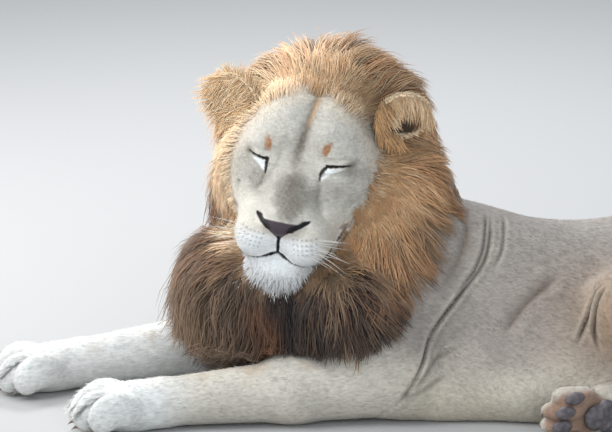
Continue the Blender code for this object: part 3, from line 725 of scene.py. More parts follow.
def eye_line(name, drop=0.0):
    """The closed eye's slit, or a line that runs beside it."""
    return on_face([(x, z - drop) for x, z in curve_through(EYES[name]["slit"], 13)])


NOSTRIL = ((0.050, -0.0745), (0.040, -0.0765), (0.029, -0.0790), (0.020, -0.0850))


def nostril_path(side):
    return on_face(curve_through([(side * x, z) for x, z in NOSTRIL], 9))


face_lines = {"philtrum": on_face(((0, -0.106), (0, -0.120), (0, -0.134), (0, -0.146)))}
for name, side in (("left", 1), ("right", -1)):
    face_lines["mouth " + name] = mouth_path(side)
    face_lines["nostril " + name] = nostril_path(side)
    face_lines["slit " + name] = eye_line(name)
    face_lines["tear " + name] = on_face(curve_through(EYES[name]["tear"], 7))

local = in_head(points_of(skin))
finest = nose_mask(local) * (1 - nose_mask(local)) > 0.02
for path in face_lines.values():
    finest |= along(local, path)[0] < 0.0050
split_finer(skin, finest)
settle(skin, 2)
tree = head_tree(skin)


def on_skin(path, count=15):
    """A path drawn down on to the skin."""
    tree_of = BVHTree.FromPolygons(points_of(skin).tolist(),
                                   [tuple(p.vertices) for p in skin.data.polygons])
    return np.array([tree_of.find_nearest(Vector(p))[0] for p in curve_through(path, count)])


fold_lines = {name: (on_skin(path, 25), depth, width) for name, (path, depth, width) in FOLDS.items()}


def toe_creases():
    """Lines between the toes, over the top of each paw."""
    lines = []
    for leg, spread in ((fore["left"], 0.070), (fore["right"], 0.070), (hind["left"], 0.056)):
        start, toes = Vector(leg.get("wrist", leg.get("hock"))), Vector(leg["toes"])
        across = (toes - start).cross(UP).normalized()
        ahead = (toes - start).normalized()
        for place in (-0.5, 0.0, 0.5):
            end = toes + across * place * spread
            over = [end - ahead * 0.075 + UP * 0.05, end - ahead * 0.035 + UP * 0.035, end + UP * 0.010]
            lines.append(on_skin(over, 7))
    return lines


crease_lines = toe_creases()


def sculpt_body():
    points, normals = points_of(skin), normals_of(skin)
    rise = np.zeros(len(points))
    for path, depth, width in fold_lines.values():
        d, t = along(points, path)
        ends = smooth_step(t, -0.02, 0.15) * smooth_step(1 - t, -0.02, 0.2)
        rise += (
            depth * ends
            * (0.5 * bell(d - 2.1 * width, width) - 0.6 * bell(d, width) - 0.5 * bell(d, width * 0.5))
        )
    for path in crease_lines:
        d, t = along(points, path)
        rise -= 0.0035 * bell(d, 0.0042) * smooth_step(t, -0.05, 0.3)
    move_points(skin, points + normals * rise[:, None])


def sculpt_face():
    points, normals = points_of(skin), normals_of(skin)
    local, out = in_head(points), normals @ HEAD
    rise = np.zeros(len(points))
    front = smooth_step(-out[:, 1], -0.1, 0.25) * (local[:, 1] < 0.10)
    # the furrow down the middle of the forehead, and a slight saddle at its foot
    middle = bell(local[:, 0], 0.012)
    rise -= (
        0.004 * middle * smooth_step(local[:, 2], 0.020, 0.050) * smooth_step(-local[:, 2], -0.14, -0.10)
        * front
    )
    for name, side in (("left", 1), ("right", -1)):
        d, t = along(local, face_lines["slit " + name])
        rise -= 0.0050 * bell(d, 0.0018) * smooth_step(t, -0.02, 0.10) * smooth_step(-t, -1.02, -0.9)
        # the upper lid's fold and the lower lid's edge
        rise -= 0.0022 * bell(along(local, eye_line(name, -0.012))[0], 0.0035)
        rise -= 0.0018 * bell(along(local, eye_line(name, 0.016))[0], 0.0050)
        rise -= 0.0028 * bell(along(local, face_lines["tear " + name])[0], 0.0024)
        # the bridge's soft edge from the inner eye down beside the nose
        crease = on_face(curve_through(EYES[name]["crease"], 9))
        rise -= 0.0024 * bell(along(local, crease)[0], 0.0075)
        # nostrils, the mouth and its corner
        d, t = along(local, face_lines["nostril " + name])
        rise -= 0.0060 * bell(d, 0.0030) * np.interp(t, (0, 0.4, 1), (0.5, 1.0, 0.5))
        d, t = along(local, face_lines["mouth " + name])
        rise -= 0.0060 * bell(d, 0.0026) * np.interp(t, (0, 1), (1.0, 0.7)) * (local[:, 1] < 0.03)
        rise += 0.0018 * bell(d - 0.008, 0.0040) * (local[:, 2] > -0.158) * (local[:, 1] < 0.0)
        beside_mouth = ((side * 0.112, -0.108), (side * 0.126, -0.092), (side * 0.136, -0.078))
        fold = on_face(curve_through(beside_mouth, 7))
        rise -= 0.0030 * bell(along(local, fold)[0], 0.0045)
    rise -= 0.0055 * bell(along(local, face_lines["philtrum"])[0], 0.0024)
    nose = nose_mask(local)
    rim = bell(local[:, 2] - NOSE_TOP, 0.0025) * (np.abs(local[:, 0]) < 0.038) * (local[:, 1] < -0.09)
    rise += 0.0010 * nose + 0.0012 * rim
    move_points(skin, points + normals * rise[:, None])


uncut_points = points_of(skin)
sculpt_face()
sculpt_body()
points = points_of(skin)
points[:, 2] = np.maximum(points[:, 2], GROUND)
move_points(skin, points)

flesh = [name for name in nodes if not name.startswith(("eye", "pad", "claw"))]
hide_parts(*flesh)
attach(skin, "root")

# ---------------------------------------------------------------- the coat's colours


def tone(red, green, blue):
    """A colour as seen, 0 to 255, as linear light."""
    seen = np.array((red, green, blue)) / 255
    return np.where(seen > 0.04045, ((seen + 0.055) / 1.055) ** 2.4, seen / 12.92)


BACK_GREY, BELLY_CREAM, LEG_CREAM = tone(162, 153, 145), tone(204, 194, 176), tone(208, 201, 188)
THIGH_GOLD, FOLD_SHADE, TAIL_DARK = tone(186, 146, 104), tone(80, 70, 66), tone(60, 48, 40)
# painted shade for the broad hollows beside the folds
FOLD_HOLLOW_SHADE = tone(116, 98, 80)
PAW_WHITE = tone(226, 226, 222)
FACE_GREY, BRIDGE_BROWN, STREAK_BROWN = tone(206, 201, 190), tone(136, 129, 119), tone(104, 93, 80)
MUZZLE_CREAM, MUZZLE_WHITE, BROW_TAN = tone(220, 213, 200), tone(246, 247, 246), tone(166, 110, 62)
LID_DARK, NOSE_DARK, NOSTRIL_SHADE = tone(38, 32, 30), tone(76, 64, 70), tone(28, 22, 24)
LIP_RED = tone(120, 82, 66)
GOLD, PALE_GOLD, DEEP_GOLD = tone(234, 184, 130), tone(246, 218, 182), tone(206, 160, 112)
GINGER = tone(212, 144, 88)
MANE_BROWN, MANE_DARK, MANE_RED = tone(152, 124, 98), tone(44, 40, 42), tone(142, 98, 70)
SOLE_FUR = tone(142, 106, 84)
# the dark backs of the ears, also used as painted shade in each ear's hollow
EAR_INSIDE, EAR_BACK_DARK_AND_HOLLOW_SHADE = tone(168, 134, 98), tone(84, 68, 56)


def mix(base, colour, share):
    share = np.clip(share, 0, 1)[:, None]
    return base * (1 - share) + colour * share


STREAK_HEIGHTS, STREAK_PLACES = (0.006, 0.115), (-0.006, 0.008)  # the forehead's streak leans to the left


def face_colour(local, base):
    """The short coat of the face with its markings and painted shade, in the head's frame."""
    x, y, z = local.T
    blur = lumps(local, 0.030, 5)
    speckle = lumps(local, 0.007, 6)
    colour = mix(base, FACE_GREY, np.ones(len(x)))
    colour *= (1 + 0.07 * blur + 0.05 * speckle)[:, None]
    # warmer towards the mane, cream below the eyes and on the muzzle
    colour = mix(colour, PALE_GOLD, 0.35 * smooth_step(hairline_distance(local), -0.030, 0.004))
    cheek = smooth_step(-z, 0.055, 0.095) * smooth_step(-y, -0.030, 0.020)
    colour = mix(colour, MUZZLE_CREAM, cheek)
    # painted light: brighter towards the lion's left side, to lift that cheek out of its shade
    colour *= (1 + 0.08 * smooth_step(x, 0.03, 0.09))[:, None]
    # the brown patch over the bridge and the streak up the forehead
    across = np.abs(x - np.interp(z, (-0.06, -0.03), (0.008, 0.001)))
    round_patch = np.hypot(across / 0.043, (z + 0.041) / 0.030) + 0.12 * blur
    patch = smooth_step(1.15 - round_patch, 0, 0.55)
    colour = mix(colour, BRIDGE_BROWN, patch * (0.80 + 0.20 * speckle) * (y < 0.02))
    colour = mix(colour, STREAK_BROWN, 0.35 * bell(np.hypot(across / 1.6, z + 0.028), 0.011) * (y < 0.02))
    middle = np.interp(z, STREAK_HEIGHTS, STREAK_PLACES)
    width = (
        np.interp(z, (0.006, 0.050, 0.130), (0.0130, 0.0100, 0.0090)) * (1 + 0.25 * blur + 0.20 * speckle)
    )
    streak = bell(x - middle, width) * smooth_step(z, -0.018, 0.025)
    colour = mix(colour, STREAK_BROWN, streak * (0.82 + 0.18 * speckle))
    colour = mix(colour, GOLD, (0.50 + 0.3 * speckle) * bell(x - middle - 0.004, 0.0045)
                 * smooth_step(z, 0.060, 0.095))
    # a grey cast down the middle of the bridge, and painted shade in the hollows round the eyes, over the
    # brows and on the outer cheeks
    column = (
        bell(across, 0.020) * smooth_step(-z, -0.020, 0.010) * smooth_step(z, -0.085, -0.060) * (y < 0.03)
    )
    colour = mix(colour, STREAK_BROWN, (0.30 + 0.20 * speckle) * column)
    hollow = np.hypot((np.abs(x) - 0.066) / 0.034, (z + 0.040) / 0.030)
    colour = mix(colour, BRIDGE_BROWN, (0.40 + 0.25 * blur + 0.20 * speckle)
                 * smooth_step(1.2 - hollow, 0, 0.7))
    brow_shade = np.hypot((np.abs(x) - 0.060) / 0.040, (z - 0.030) / 0.022)
    colour = mix(colour, BRIDGE_BROWN, (0.20 + 0.20 * blur + 0.15 * speckle)
                 * smooth_step(1.2 - brow_shade, 0, 0.8))
    outer_cheek_shade = (
        smooth_step(np.abs(x), 0.070, 0.115) * smooth_step(z, -0.130, -0.060)
        * smooth_step(-z, -0.030, 0.010)
    )
    colour = mix(colour, BRIDGE_BROWN, (0.32 + 0.2 * blur + 0.2 * speckle) * outer_cheek_shade)
    # white round the mouth and on the chin
    white = (
        smooth_step(-z, 0.092, 0.118) * smooth_step(0.082 - np.abs(x), -0.012, 0.012)
        * smooth_step(-y, 0.015, 0.06)
    )
    colour = mix(colour, MUZZLE_WHITE, white)
    colour = mix(colour, MUZZLE_WHITE, smooth_step(-z, 0.160, 0.172) * (y < 0.02))
    for name, side in (("left", 1), ("right", -1)):
        eye = EYES[name]
        flat = np.stack((x, z), 1)
        slit_distance, slit_along = along(flat, face_lines["slit " + name][:, (0, 2)])
        tear_distance, tear_along = along(flat, face_lines["tear " + name][:, (0, 2)])
        # white under the eye, in the corner between the lid and the tear line
        under = np.full(len(x), 9.0)
        wedge = np.array(eye["white"])
        for p, q in zip(wedge, np.roll(wedge, -1, axis=0)):
            edge_way = (q - p) / np.linalg.norm(q - p)
            under = np.minimum(under, side * ((flat - p) @ (-edge_way[1], edge_way[0])))
        under = smooth_step(under, -0.0012, 0.0012) * (y < 0.06)
        colour = mix(colour, MUZZLE_WHITE * 1.05, under)
        # painted shade below the white wedge, and along the crease from the inner eye down beside the nose
        below = np.linalg.norm((flat - wedge[2] - (side * 0.016, -0.012)) / (1.6, 0.8), axis=1)
        colour = mix(colour, STREAK_BROWN, (0.30 + 0.2 * speckle) * bell(below, 0.012) * (y < 0.07))
        crease_distance, crease_along = along(flat, np.array(eye["crease"]))
        crease_shade = (
            (0.46 + 0.20 * speckle) * bell(crease_distance, 0.0042) * smooth_step(1 - crease_along, 0, 0.5)
        )
        colour = mix(colour, STREAK_BROWN, crease_shade * (y < 0.04))
        brow = flat - np.array(eye["brow"])
        brow = np.hypot((brow[:, 0] - side * brow[:, 1] * 0.25) / 0.0084, brow[:, 1] / 0.0150)
        colour = mix(colour, BROW_TAN, (0.85 + 0.15 * speckle)
                     * smooth_step(1.25 - brow + 0.3 * speckle, 0, 0.75) * (y < 0.07))
        corner = np.linalg.norm(flat - np.array(eye["slit"][-1]), axis=1)
        colour = mix(colour, STREAK_BROWN, 0.85 * bell(corner, 0.0095) * (y < 0.08))
        slit = smooth_step(np.interp(slit_along, (0, 0.7, 1), (0.0044, 0.0034, 0.0020))
                           * (1 + 0.25 * speckle) - slit_distance, 0, 0.0020)
        colour = mix(colour, LID_DARK, slit * (y < 0.07))
        tear = smooth_step(np.interp(tear_along, (0, 0.5, 1), (0.0044, 0.0046, 0.0026))
                           * (1 + 0.3 * speckle) - tear_distance, 0, 0.0022)
        colour = mix(colour, LID_DARK, 0.94 * tear * (y < 0.09))
        # four rows of whisker spots
        for row in range(4):
            for k in range(6):
                spot = (side * (0.030 + 0.0085 * k + 0.002 * row), -0.104 - 0.0095 * row + 0.0012 * k)
                colour = mix(colour, LID_DARK, 0.75 * bell(np.hypot(*(flat - spot).T), 0.0015)
                             * (y < -0.03))
        mouth_distance, part = along(flat, face_lines["mouth " + name][:, (0, 2)])
        reach = np.interp(part, (0, 0.5, 1), (0.0042, 0.0038, 0.0024)) * (1 + 0.25 * speckle)
        colour = mix(colour, LID_DARK, smooth_step(reach - mouth_distance, 0, 0.0024) * (y < 0.04))
        crease = np.hypot((x - side * 0.112) / 0.012, (z + 0.106) / 0.007)
        colour = mix(colour, LIP_RED, 0.6 * smooth_step(1.2 - crease, 0, 0.6) * (y < 0.06))
    nose = nose_mask(local)
    colour = mix(colour, NOSE_DARK, nose)
    # painted shade in the nostrils, darker than the leather round them
    for name in ("left", "right"):
        nostril_distance, part = along(local[:, (0, 2)], face_lines["nostril " + name][:, (0, 2)])
        reach = np.interp(part, (0, 0.5, 0.9, 1), (0.0034, 0.0058, 0.0078, 0.0060))
        colour = mix(colour, NOSTRIL_SHADE, smooth_step(reach - nostril_distance, 0, 0.0018) * (y < -0.06))
    # painted shade in the groove below the nose
    groove, _ = along(local[:, (0, 2)], face_lines["philtrum"][:, (0, 2)])
    colour = mix(colour, NOSTRIL_SHADE, smooth_step(0.0040 - groove, 0, 0.0016) * (y < -0.06))
    return colour


SOLE_AT = np.array((0.492, -0.115, 0.058))  # the middle of the upturned sole


def mane_colour(points, local):
    """Gold round the face, brown lower down and near black on the chest."""
    x, y, z = points.T
    wave = lumps(points, 0.10, 11)
    strand = lumps(points, 0.024, 12)
    beyond = hairline_distance(local)
    colour = np.repeat(GOLD[None], len(points), 0)
    colour = mix(colour, PALE_GOLD, 0.5 + 0.5 * strand)
    # the lion's left side is browner than its right
    colour = mix(colour, PALE_GOLD, 0.65 * smooth_step(-local[:, 0], 0.02, 0.12))
    browner = 0.55 * smooth_step(local[:, 0], 0.06, 0.18) * (1 - 0.5 * smooth_step(local[:, 2], 0.02, 0.10))
    colour = mix(colour, DEEP_GOLD, browner + 0.2 * wave * (local[:, 0] > 0))
    # painted light: brighter still on the lion's right side, which the light falls on
    colour *= (1 + 0.12 * smooth_step(-local[:, 0], 0.05, 0.12))[:, None]
    under_cheek = smooth_step(-local[:, 2], 0.09, 0.17) * smooth_step(local[:, 0], 0.04, 0.11)
    colour = mix(colour, MANE_BROWN * 0.85, (0.60 + 0.25 * strand) * under_cheek)
    colour = mix(colour, MANE_BROWN, smooth_step(beyond + 0.02 * wave, 0.055, 0.150) * 0.75)
    low = np.interp(local[:, 0], (-0.25, -0.05, 0.05, 0.25), (-0.150, -0.235, -0.215, -0.165))
    colour = mix(colour, MANE_BROWN, smooth_step(low - local[:, 2] + 0.03 * wave, -0.035, 0.02))
    dark = smooth_step(low - local[:, 2] + 0.035 * wave + 0.012 * strand, -0.010, 0.050)
    dark *= np.interp(y, (-0.78, -0.71, -0.65), (0.35, 0.72, 1.0)) + 0.22 * strand
    colour = mix(colour, MANE_DARK, dark)
    red = bell(y + 0.655 + 0.3 * (z - 0.15), 0.028) * smooth_step(0.25 - z, 0, 0.06)
    colour = mix(colour, MANE_RED, (0.65 + 0.25 * strand) * red)
    behind = smooth_step(local[:, 1], 0.20, 0.30) * smooth_step(local[:, 2], -0.05, 0.06)
    colour = mix(colour, MANE_BROWN, 0.7 * behind)
    behind_ear = np.linalg.norm(local - (0.165, 0.190, 0.135), axis=1)
    colour = mix(colour, MANE_DARK, (0.65 + 0.3 * strand) * smooth_step(0.062 - behind_ear, 0.0, 0.025))
    return colour


def body_colour(points):
    x, y, z = points.T
    wave, patch, speckle = lumps(points, 0.22, 21), lumps(points, 0.06, 22), lumps(points, 0.014, 23)
    colour = np.repeat(BACK_GREY[None], len(points), 0)
    colour = mix(colour, BELLY_CREAM, smooth_step(-z + 0.02 * wave, -0.16, -0.04))
    forelegs = smooth_step(-y, 0.36, 0.50) * smooth_step(-z, -0.24, -0.10)
    colour = mix(colour, LEG_CREAM, forelegs)
    colour = mix(colour, PAW_WHITE, forelegs
                 * np.maximum(smooth_step(-x, 0.0, 0.10), smooth_step(-y, 0.78, 0.90)))
    colour = mix(colour, THIGH_GOLD, forelegs * smooth_step(patch + 0.5 * wave, 0.25, 0.9)
                 * smooth_step(z, 0.06, 0.11) * 0.28)
    hind_feet = smooth_step(x, 0.30, 0.40) * smooth_step(-z, -0.16, -0.06)
    colour = mix(colour, LEG_CREAM, 0.8 * hind_feet)
    sole = np.linalg.norm((points - SOLE_AT) / (0.046, 0.100, 0.052), axis=1)
    colour = mix(colour, SOLE_FUR, 0.85 * smooth_step(1.25 - sole + 0.1 * patch, 0, 0.4))
    colour = mix(colour, PAW_WHITE, smooth_step(y, -0.085, -0.055) * smooth_step(0.040 - z, 0, 0.012)
                 * smooth_step(x, 0.40, 0.44))
    knee = bell(np.linalg.norm((points - (0.34, 0.10, 0.20)) / (1.2, 1.4, 1.0), axis=1), 0.12)
    colour = mix(colour, THIGH_GOLD, 0.80 * knee)
    rump = smooth_step(y, 0.10, 0.30) * smooth_step(z, 0.06, 0.20)
    colour = mix(colour, THIGH_GOLD, 0.30 * rump)
    tail_end = smooth_step(x, 0.50, 0.60) * smooth_step(y, 0.50, 0.56)
    colour = mix(colour, TAIL_DARK, tail_end)
    # painted shade along the folds, darkest in each crease
    for name, (path, depth, width) in fold_lines.items():
        d, t = along(points, path)
        ends = smooth_step(t, -0.02, 0.22) * smooth_step(1 - t, -0.02, 0.30)
        if width > 0.008:
            colour = mix(colour, FOLD_HOLLOW_SHADE, (0.42 + 0.2 * patch) * bell(d, width * 0.9) * ends)
            colour = mix(colour, FOLD_SHADE, 0.40 * bell(d, 0.0030 + 0.001 * patch)
                         * smooth_step(depth, 0.0046, 0.0052) * ends)
        else:
            colour = mix(colour, FOLD_SHADE, (0.28 * bell(d, width * 1.3) + depth * 120 * bell(d, 0.0021))
                         * ends)
            # painted highlight: a cream band along the raised ridge beside each narrow fold
            colour = mix(colour, BELLY_CREAM, 0.30 * bell(d - width * 2.2, width * 0.8) * ends)
    # dark scars and spots, and painted shade in the armpit's hollow
    for place, radius in SCARS_AND_ARMPIT_SHADE:
        colour = mix(colour, LID_DARK, 0.85 * bell(np.linalg.norm(points - place, axis=1), radius))
    for path in crease_lines:
        d, t = along(points, path)
        colour = mix(colour, FOLD_SHADE, 0.75 * bell(d, 0.0036) * smooth_step(t, 0.1, 0.6))
    return colour * (1 + 0.06 * wave + 0.05 * patch + 0.04 * speckle)[:, None]


def ear_colour(points):
    """Pale rims, tan inside with painted shade in the hollow, dark behind."""
    colour = np.repeat(PALE_GOLD[None], len(points), 0)
    for axes, centre in ear_frames.values():
        q = (points - centre) @ axes / EAR_RADII
        near = np.linalg.norm(q, axis=1) < 1.4
        inside = near * smooth_step(0.965 - np.linalg.norm(q, axis=1), 0, 0.06)
        colour = mix(colour, EAR_INSIDE, inside)
        # painted shade in the hollow of the cup
        colour = mix(colour, EAR_BACK_DARK_AND_HOLLOW_SHADE, inside * smooth_step(-q[:, 2], -0.15, 0.35))
        behind = near * smooth_step(q[:, 1], 0.15, 0.6) * smooth_step(np.linalg.norm(q, axis=1), 0.9, 1.0)
        colour = mix(colour, EAR_BACK_DARK_AND_HOLLOW_SHADE, 0.7 * behind)
    return colour


def coat_colour(points):
    """The colour that skin and coat share at each point."""
    local = in_head(points)
    beyond = hairline_distance(local)
    colour = body_colour(points)
    head_share = smooth_step(0.034 - np.minimum(group_distance(points, "head"), 0.05), 0, 0.010)
    mane_share = mane_mask(points)
    mane_share = np.maximum(mane_share, below_chin(points))
    colour = mix(colour, mane_colour(points, local), mane_share)
    on_face_share = head_share * smooth_step(-beyond, -0.004, 0.004)
    face_rows = on_face_share > 0
    colour[face_rows] = mix(colour[face_rows], face_colour(local[face_rows], colour[face_rows]),
                            on_face_share[face_rows])
    ear_share = smooth_step(0.012 - np.minimum(group_distance(points, "ear"), 0.05), 0, 0.006)
    return mix(colour, ear_colour(points), ear_share)


MANE_EDGE = np.array((  # z, and the y where the mane ends over the shoulder
    (0.00, -0.560), (0.13, -0.490), (0.18, -0.435), (0.24, -0.395), (0.30, -0.365), (0.35, -0.330),
    (0.41, -0.290),
    (0.46, -0.270), (0.60, -0.260),
))


def mane_mask(points, ahead=0.0):
    """1 where the mane grows; ahead moves its back edge forward."""
    x, y, z = points.T
    local = in_head(points)
    edge = np.interp(z, MANE_EDGE[:, 0], MANE_EDGE[:, 1]) - ahead
    mane, leg = group_distance(points, "mane", "head"), group_distance(points, "leg")
    above_legs = np.maximum(smooth_step(z, 0.135, 0.165), smooth_step(leg - mane, -0.004, 0.010))
    share = smooth_step(edge - y, -0.014, 0.014) * above_legs * smooth_step(y, -0.84, -0.80)
    share *= smooth_step(group_distance(points, "ear"), 0.003, 0.010)
    return share * smooth_step(hairline_distance(local), -0.006, 0.006)


def below_chin(points):
    """1 on the chest between the forelegs, where the mane hangs to the floor."""
    x, y, z = points.T
    between = (
        smooth_step(0.125 - np.abs(x + 0.03), 0, 0.02) * smooth_step(y, -0.82, -0.79)
        * smooth_step(-y, 0.44, 0.48)
    )
    return between * smooth_step(z, 0.015, 0.03) * (group_distance(points, "mane") < 0.02)


def noise_node(nodes_of, links, coordinates, scale, detail=3.0, stretch=(1, 1, 1)):
    mapping = nodes_of.new("ShaderNodeMapping")
    mapping.inputs["Scale"].default_value = stretch
    links.new(coordinates, mapping.inputs["Vector"])
    noise = nodes_of.new("ShaderNodeTexNoise")
    noise.inputs["Scale"].default_value = scale
    noise.inputs["Detail"].default_value = detail
    links.new(mapping.outputs["Vector"], noise.inputs["Vector"])
    return noise.outputs["Fac"]


def ramp(nodes_of, links, value, low, high):
    """A value from noise, spread over the shades low to high."""
    spread = nodes_of.new("ShaderNodeMapRange")
    spread.inputs["From Min"].default_value = 0.3
    spread.inputs["From Max"].default_value = 0.7
    spread.inputs["To Min"].default_value = low
    spread.inputs["To Max"].default_value = high
    links.new(value, spread.inputs["Value"])
    return spread.outputs["Result"]


def coat_material(name, rough=0.75, streaks=(260, 60, 260), depth=0.0012, sheen=0.15, shade=(0.86, 1.12)):
    """A coat's own colours, with fine streaks along the body in colour and in relief."""
    material = bpy.data.materials.new(name)
    material.use_nodes = True
    tree_of = material.node_tree
    nodes_of, links = tree_of.nodes, tree_of.links
    shader = nodes_of["Principled BSDF"]
    shader.inputs["Roughness"].default_value = rough
    shader.inputs["Sheen Weight"].default_value = sheen
    shader.inputs["Sheen Roughness"].default_value = 0.5
    shader.inputs["Specular IOR Level"].default_value = 0.25
    place = nodes_of.new("ShaderNodeTexCoord").outputs["Object"]
    coat = nodes_of.new("ShaderNodeAttribute")
    coat.attribute_name = "Coat"
    streak = noise_node(nodes_of, links, place, 1.0, 4.0, streaks)
    tint = nodes_of.new("ShaderNodeVectorMath")
    tint.operation = "SCALE"
    links.new(coat.outputs["Color"], tint.inputs[0])
    links.new(ramp(nodes_of, links, streak, *shade), tint.inputs["Scale"])
    links.new(tint.outputs["Vector"], shader.inputs["Base Color"])
    if depth:
        bump = nodes_of.new("ShaderNodeBump")
        bump.inputs["Distance"].default_value = depth
        bump.inputs["Strength"].default_value = 0.7
        links.new(streak, bump.inputs["Height"])
        links.new(bump.outputs["Normal"], shader.inputs["Normal"])
    return material


def set_coat(obj, colours):
    attribute = obj.data.attributes.new("Coat", "FLOAT_COLOR", "POINT")
    rows = np.concatenate((np.clip(colours, 0, 1), np.ones((len(colours), 1))), 1)
    attribute.data.foreach_set("color", rows.astype(np.float32).ravel())


skin_colours = coat_colour(uncut_points)
under_mane = np.maximum(mane_mask(uncut_points, 0.02), below_chin(uncut_points))
# painted shade: the skin is darkened by half where the mane lies over it
skin_shaded_under_mane = skin_colours * (1 - 0.5 * under_mane[:, None])
set_coat(skin, skin_shaded_under_mane)
skin.data.materials.append(coat_material("short fur"))


# ---------------------------------------------------------------- the coat as mesh

rng = np.random.default_rng(7)
skin.data.calc_loop_triangles()
triangles = np.empty(len(skin.data.loop_triangles) * 3, int)
skin.data.loop_triangles.foreach_get("vertices", triangles)
triangles = triangles.reshape(-1, 3)
skin_points, skin_normals = points_of(skin), normals_of(skin)
corners = skin_points[triangles]
areas = np.linalg.norm(np.cross(corners[:, 1] - corners[:, 0], corners[:, 2] - corners[:, 0]), axis=1) / 2


def scatter(count, density):
    """Roots spread over the skin where density, given for each of its points, is above 0."""
    weight = areas * density[triangles].mean(1)
    picked = rng.choice(len(triangles), count, p=weight / weight.sum())
    shares = rng.dirichlet((1, 1, 1), count)[:, :, None]
    rows = triangles[picked]
    return (
        (skin_points[rows] * shares).sum(1),
        unit((skin_normals[rows] * shares).sum(1)),
        (skin_colours[rows] * shares).sum(1),
    )


def radial_flow(local):
    """Away from the middle of the face, in the head's frame."""
    flat = local[:, (0, 2)] - (0.0, -0.040)
    flat = unit(flat)
    return np.stack((flat[:, 0], np.zeros(len(flat)), flat[:, 1]), 1)


def mane_flow(points, s):
    """The way the mane lies: away from the face, then down, and back over the neck."""
    local = in_head(points)
    x, y, z = points.T
    near_face = smooth_step(-hairline_distance(local), -0.16, -0.01)[:, None]
    crown = smooth_step(local[:, 2], 0.05, 0.12)[:, None]
    down = np.array((0, 0, -1.0))
    ahead_or_back = np.stack((np.sign(x) * 0.10,
                              np.interp(y, (-0.75, -0.60, -0.50, -0.35), (-0.35, -0.12, 0.15, 0.55)),
                              np.full(len(x), -0.80)), 1)
    away = radial_flow(local) @ HEAD.T
    back = HEAD[:, 1]
    face_way = (
        away * (0.75 - 0.25 * s) + back * (0.35 + 0.5 * crown) + down * (0.55 + 0.30 * s) * (1 - crown)
    )
    return unit(face_way * near_face + ahead_or_back * (1 - near_face))


def comb(roots, normals, lengths, heights, flow, steps, rise=0.8):
    """Paths that leave the skin along the flow and climb to their own height above it."""
    paths, outs = [roots - normals * 0.002], [normals]
    here = roots
    for k in range(1, steps + 1):
        s = k / steps
        away, out = skin_slope(here)
        way = flow(here, s)
        way = unit(way - out * (way * out).sum(1, keepdims=True))
        here = here + way * (lengths / steps)[:, None] + out * (heights * s**rise - away)[:, None]
        paths.append(here)
        outs.append(out)
    return np.stack(paths, 1), np.stack(outs, 1)


def gather(roots, paths, per_clump, pull, seed):
    """Draws the ends of neighbouring locks together and gives each gathering its own number."""
    pick = np.random.default_rng(seed)
    guides = pick.choice(len(roots), max(len(roots) // per_clump, 1), replace=False)
    nearest = np.empty(len(roots), int)
    for start in range(0, len(roots), 2000):
        rows = slice(start, start + 2000)
        d = ((roots[rows, None] - roots[guides][None]) ** 2).sum(2)
        nearest[rows] = d.argmin(1)
    leader = guides[nearest]
    s = np.linspace(0, 1, paths.shape[1])[None, :, None]
    apart = (roots - roots[leader])[:, None]
    strength = pull * s * pick.uniform(0.6, 1.0, len(roots))[:, None, None]
    drawn = paths[leader] + apart * (1 - 0.75 * s)
    return paths + (drawn - paths) * strength, nearest


def lift_clear(paths, least=0.0012):
    """Keeps every point of the paths, but for the roots, clear of the skin and the floor."""
    for k in range(1, paths.shape[1]):
        away, out = skin_slope(paths[:, k])
        paths[:, k] += out * np.maximum(least * k - away, 0)[:, None]
        paths[:, k, 2] = np.maximum(paths[:, k, 2], 0.003)
    return paths


def inside_frame(paths, room=0.018):
    """Eases in whatever would reach well past the frame's own box."""
    low, high = np.array(cad_low), np.array(cad_high)
    over, under = np.maximum(paths - high, 0), np.maximum(low - paths, 0)
    return paths - over + room * np.tanh(over / room) + under - room * np.tanh(under / room)


def unwrap(points, centre, axis):
    """A cylindrical unroll about a line, each way within 0 to 1."""
    z = np.array(axis, float)
    z /= np.linalg.norm(z)
    x = unit(np.cross(z, (0.3, -0.2, 1.0) if abs(z[2]) < 0.9 else (1.0, 0, 0)))
    y = np.cross(z, x)
    away = points - centre
    u = np.arctan2(away @ y, away @ x)
    v = away @ z
    spread = [(c - c.min()) / max(c.max() - c.min(), 1e-6) for c in (u, v)]
    return np.stack(spread, 1) * 0.97 + 0.012


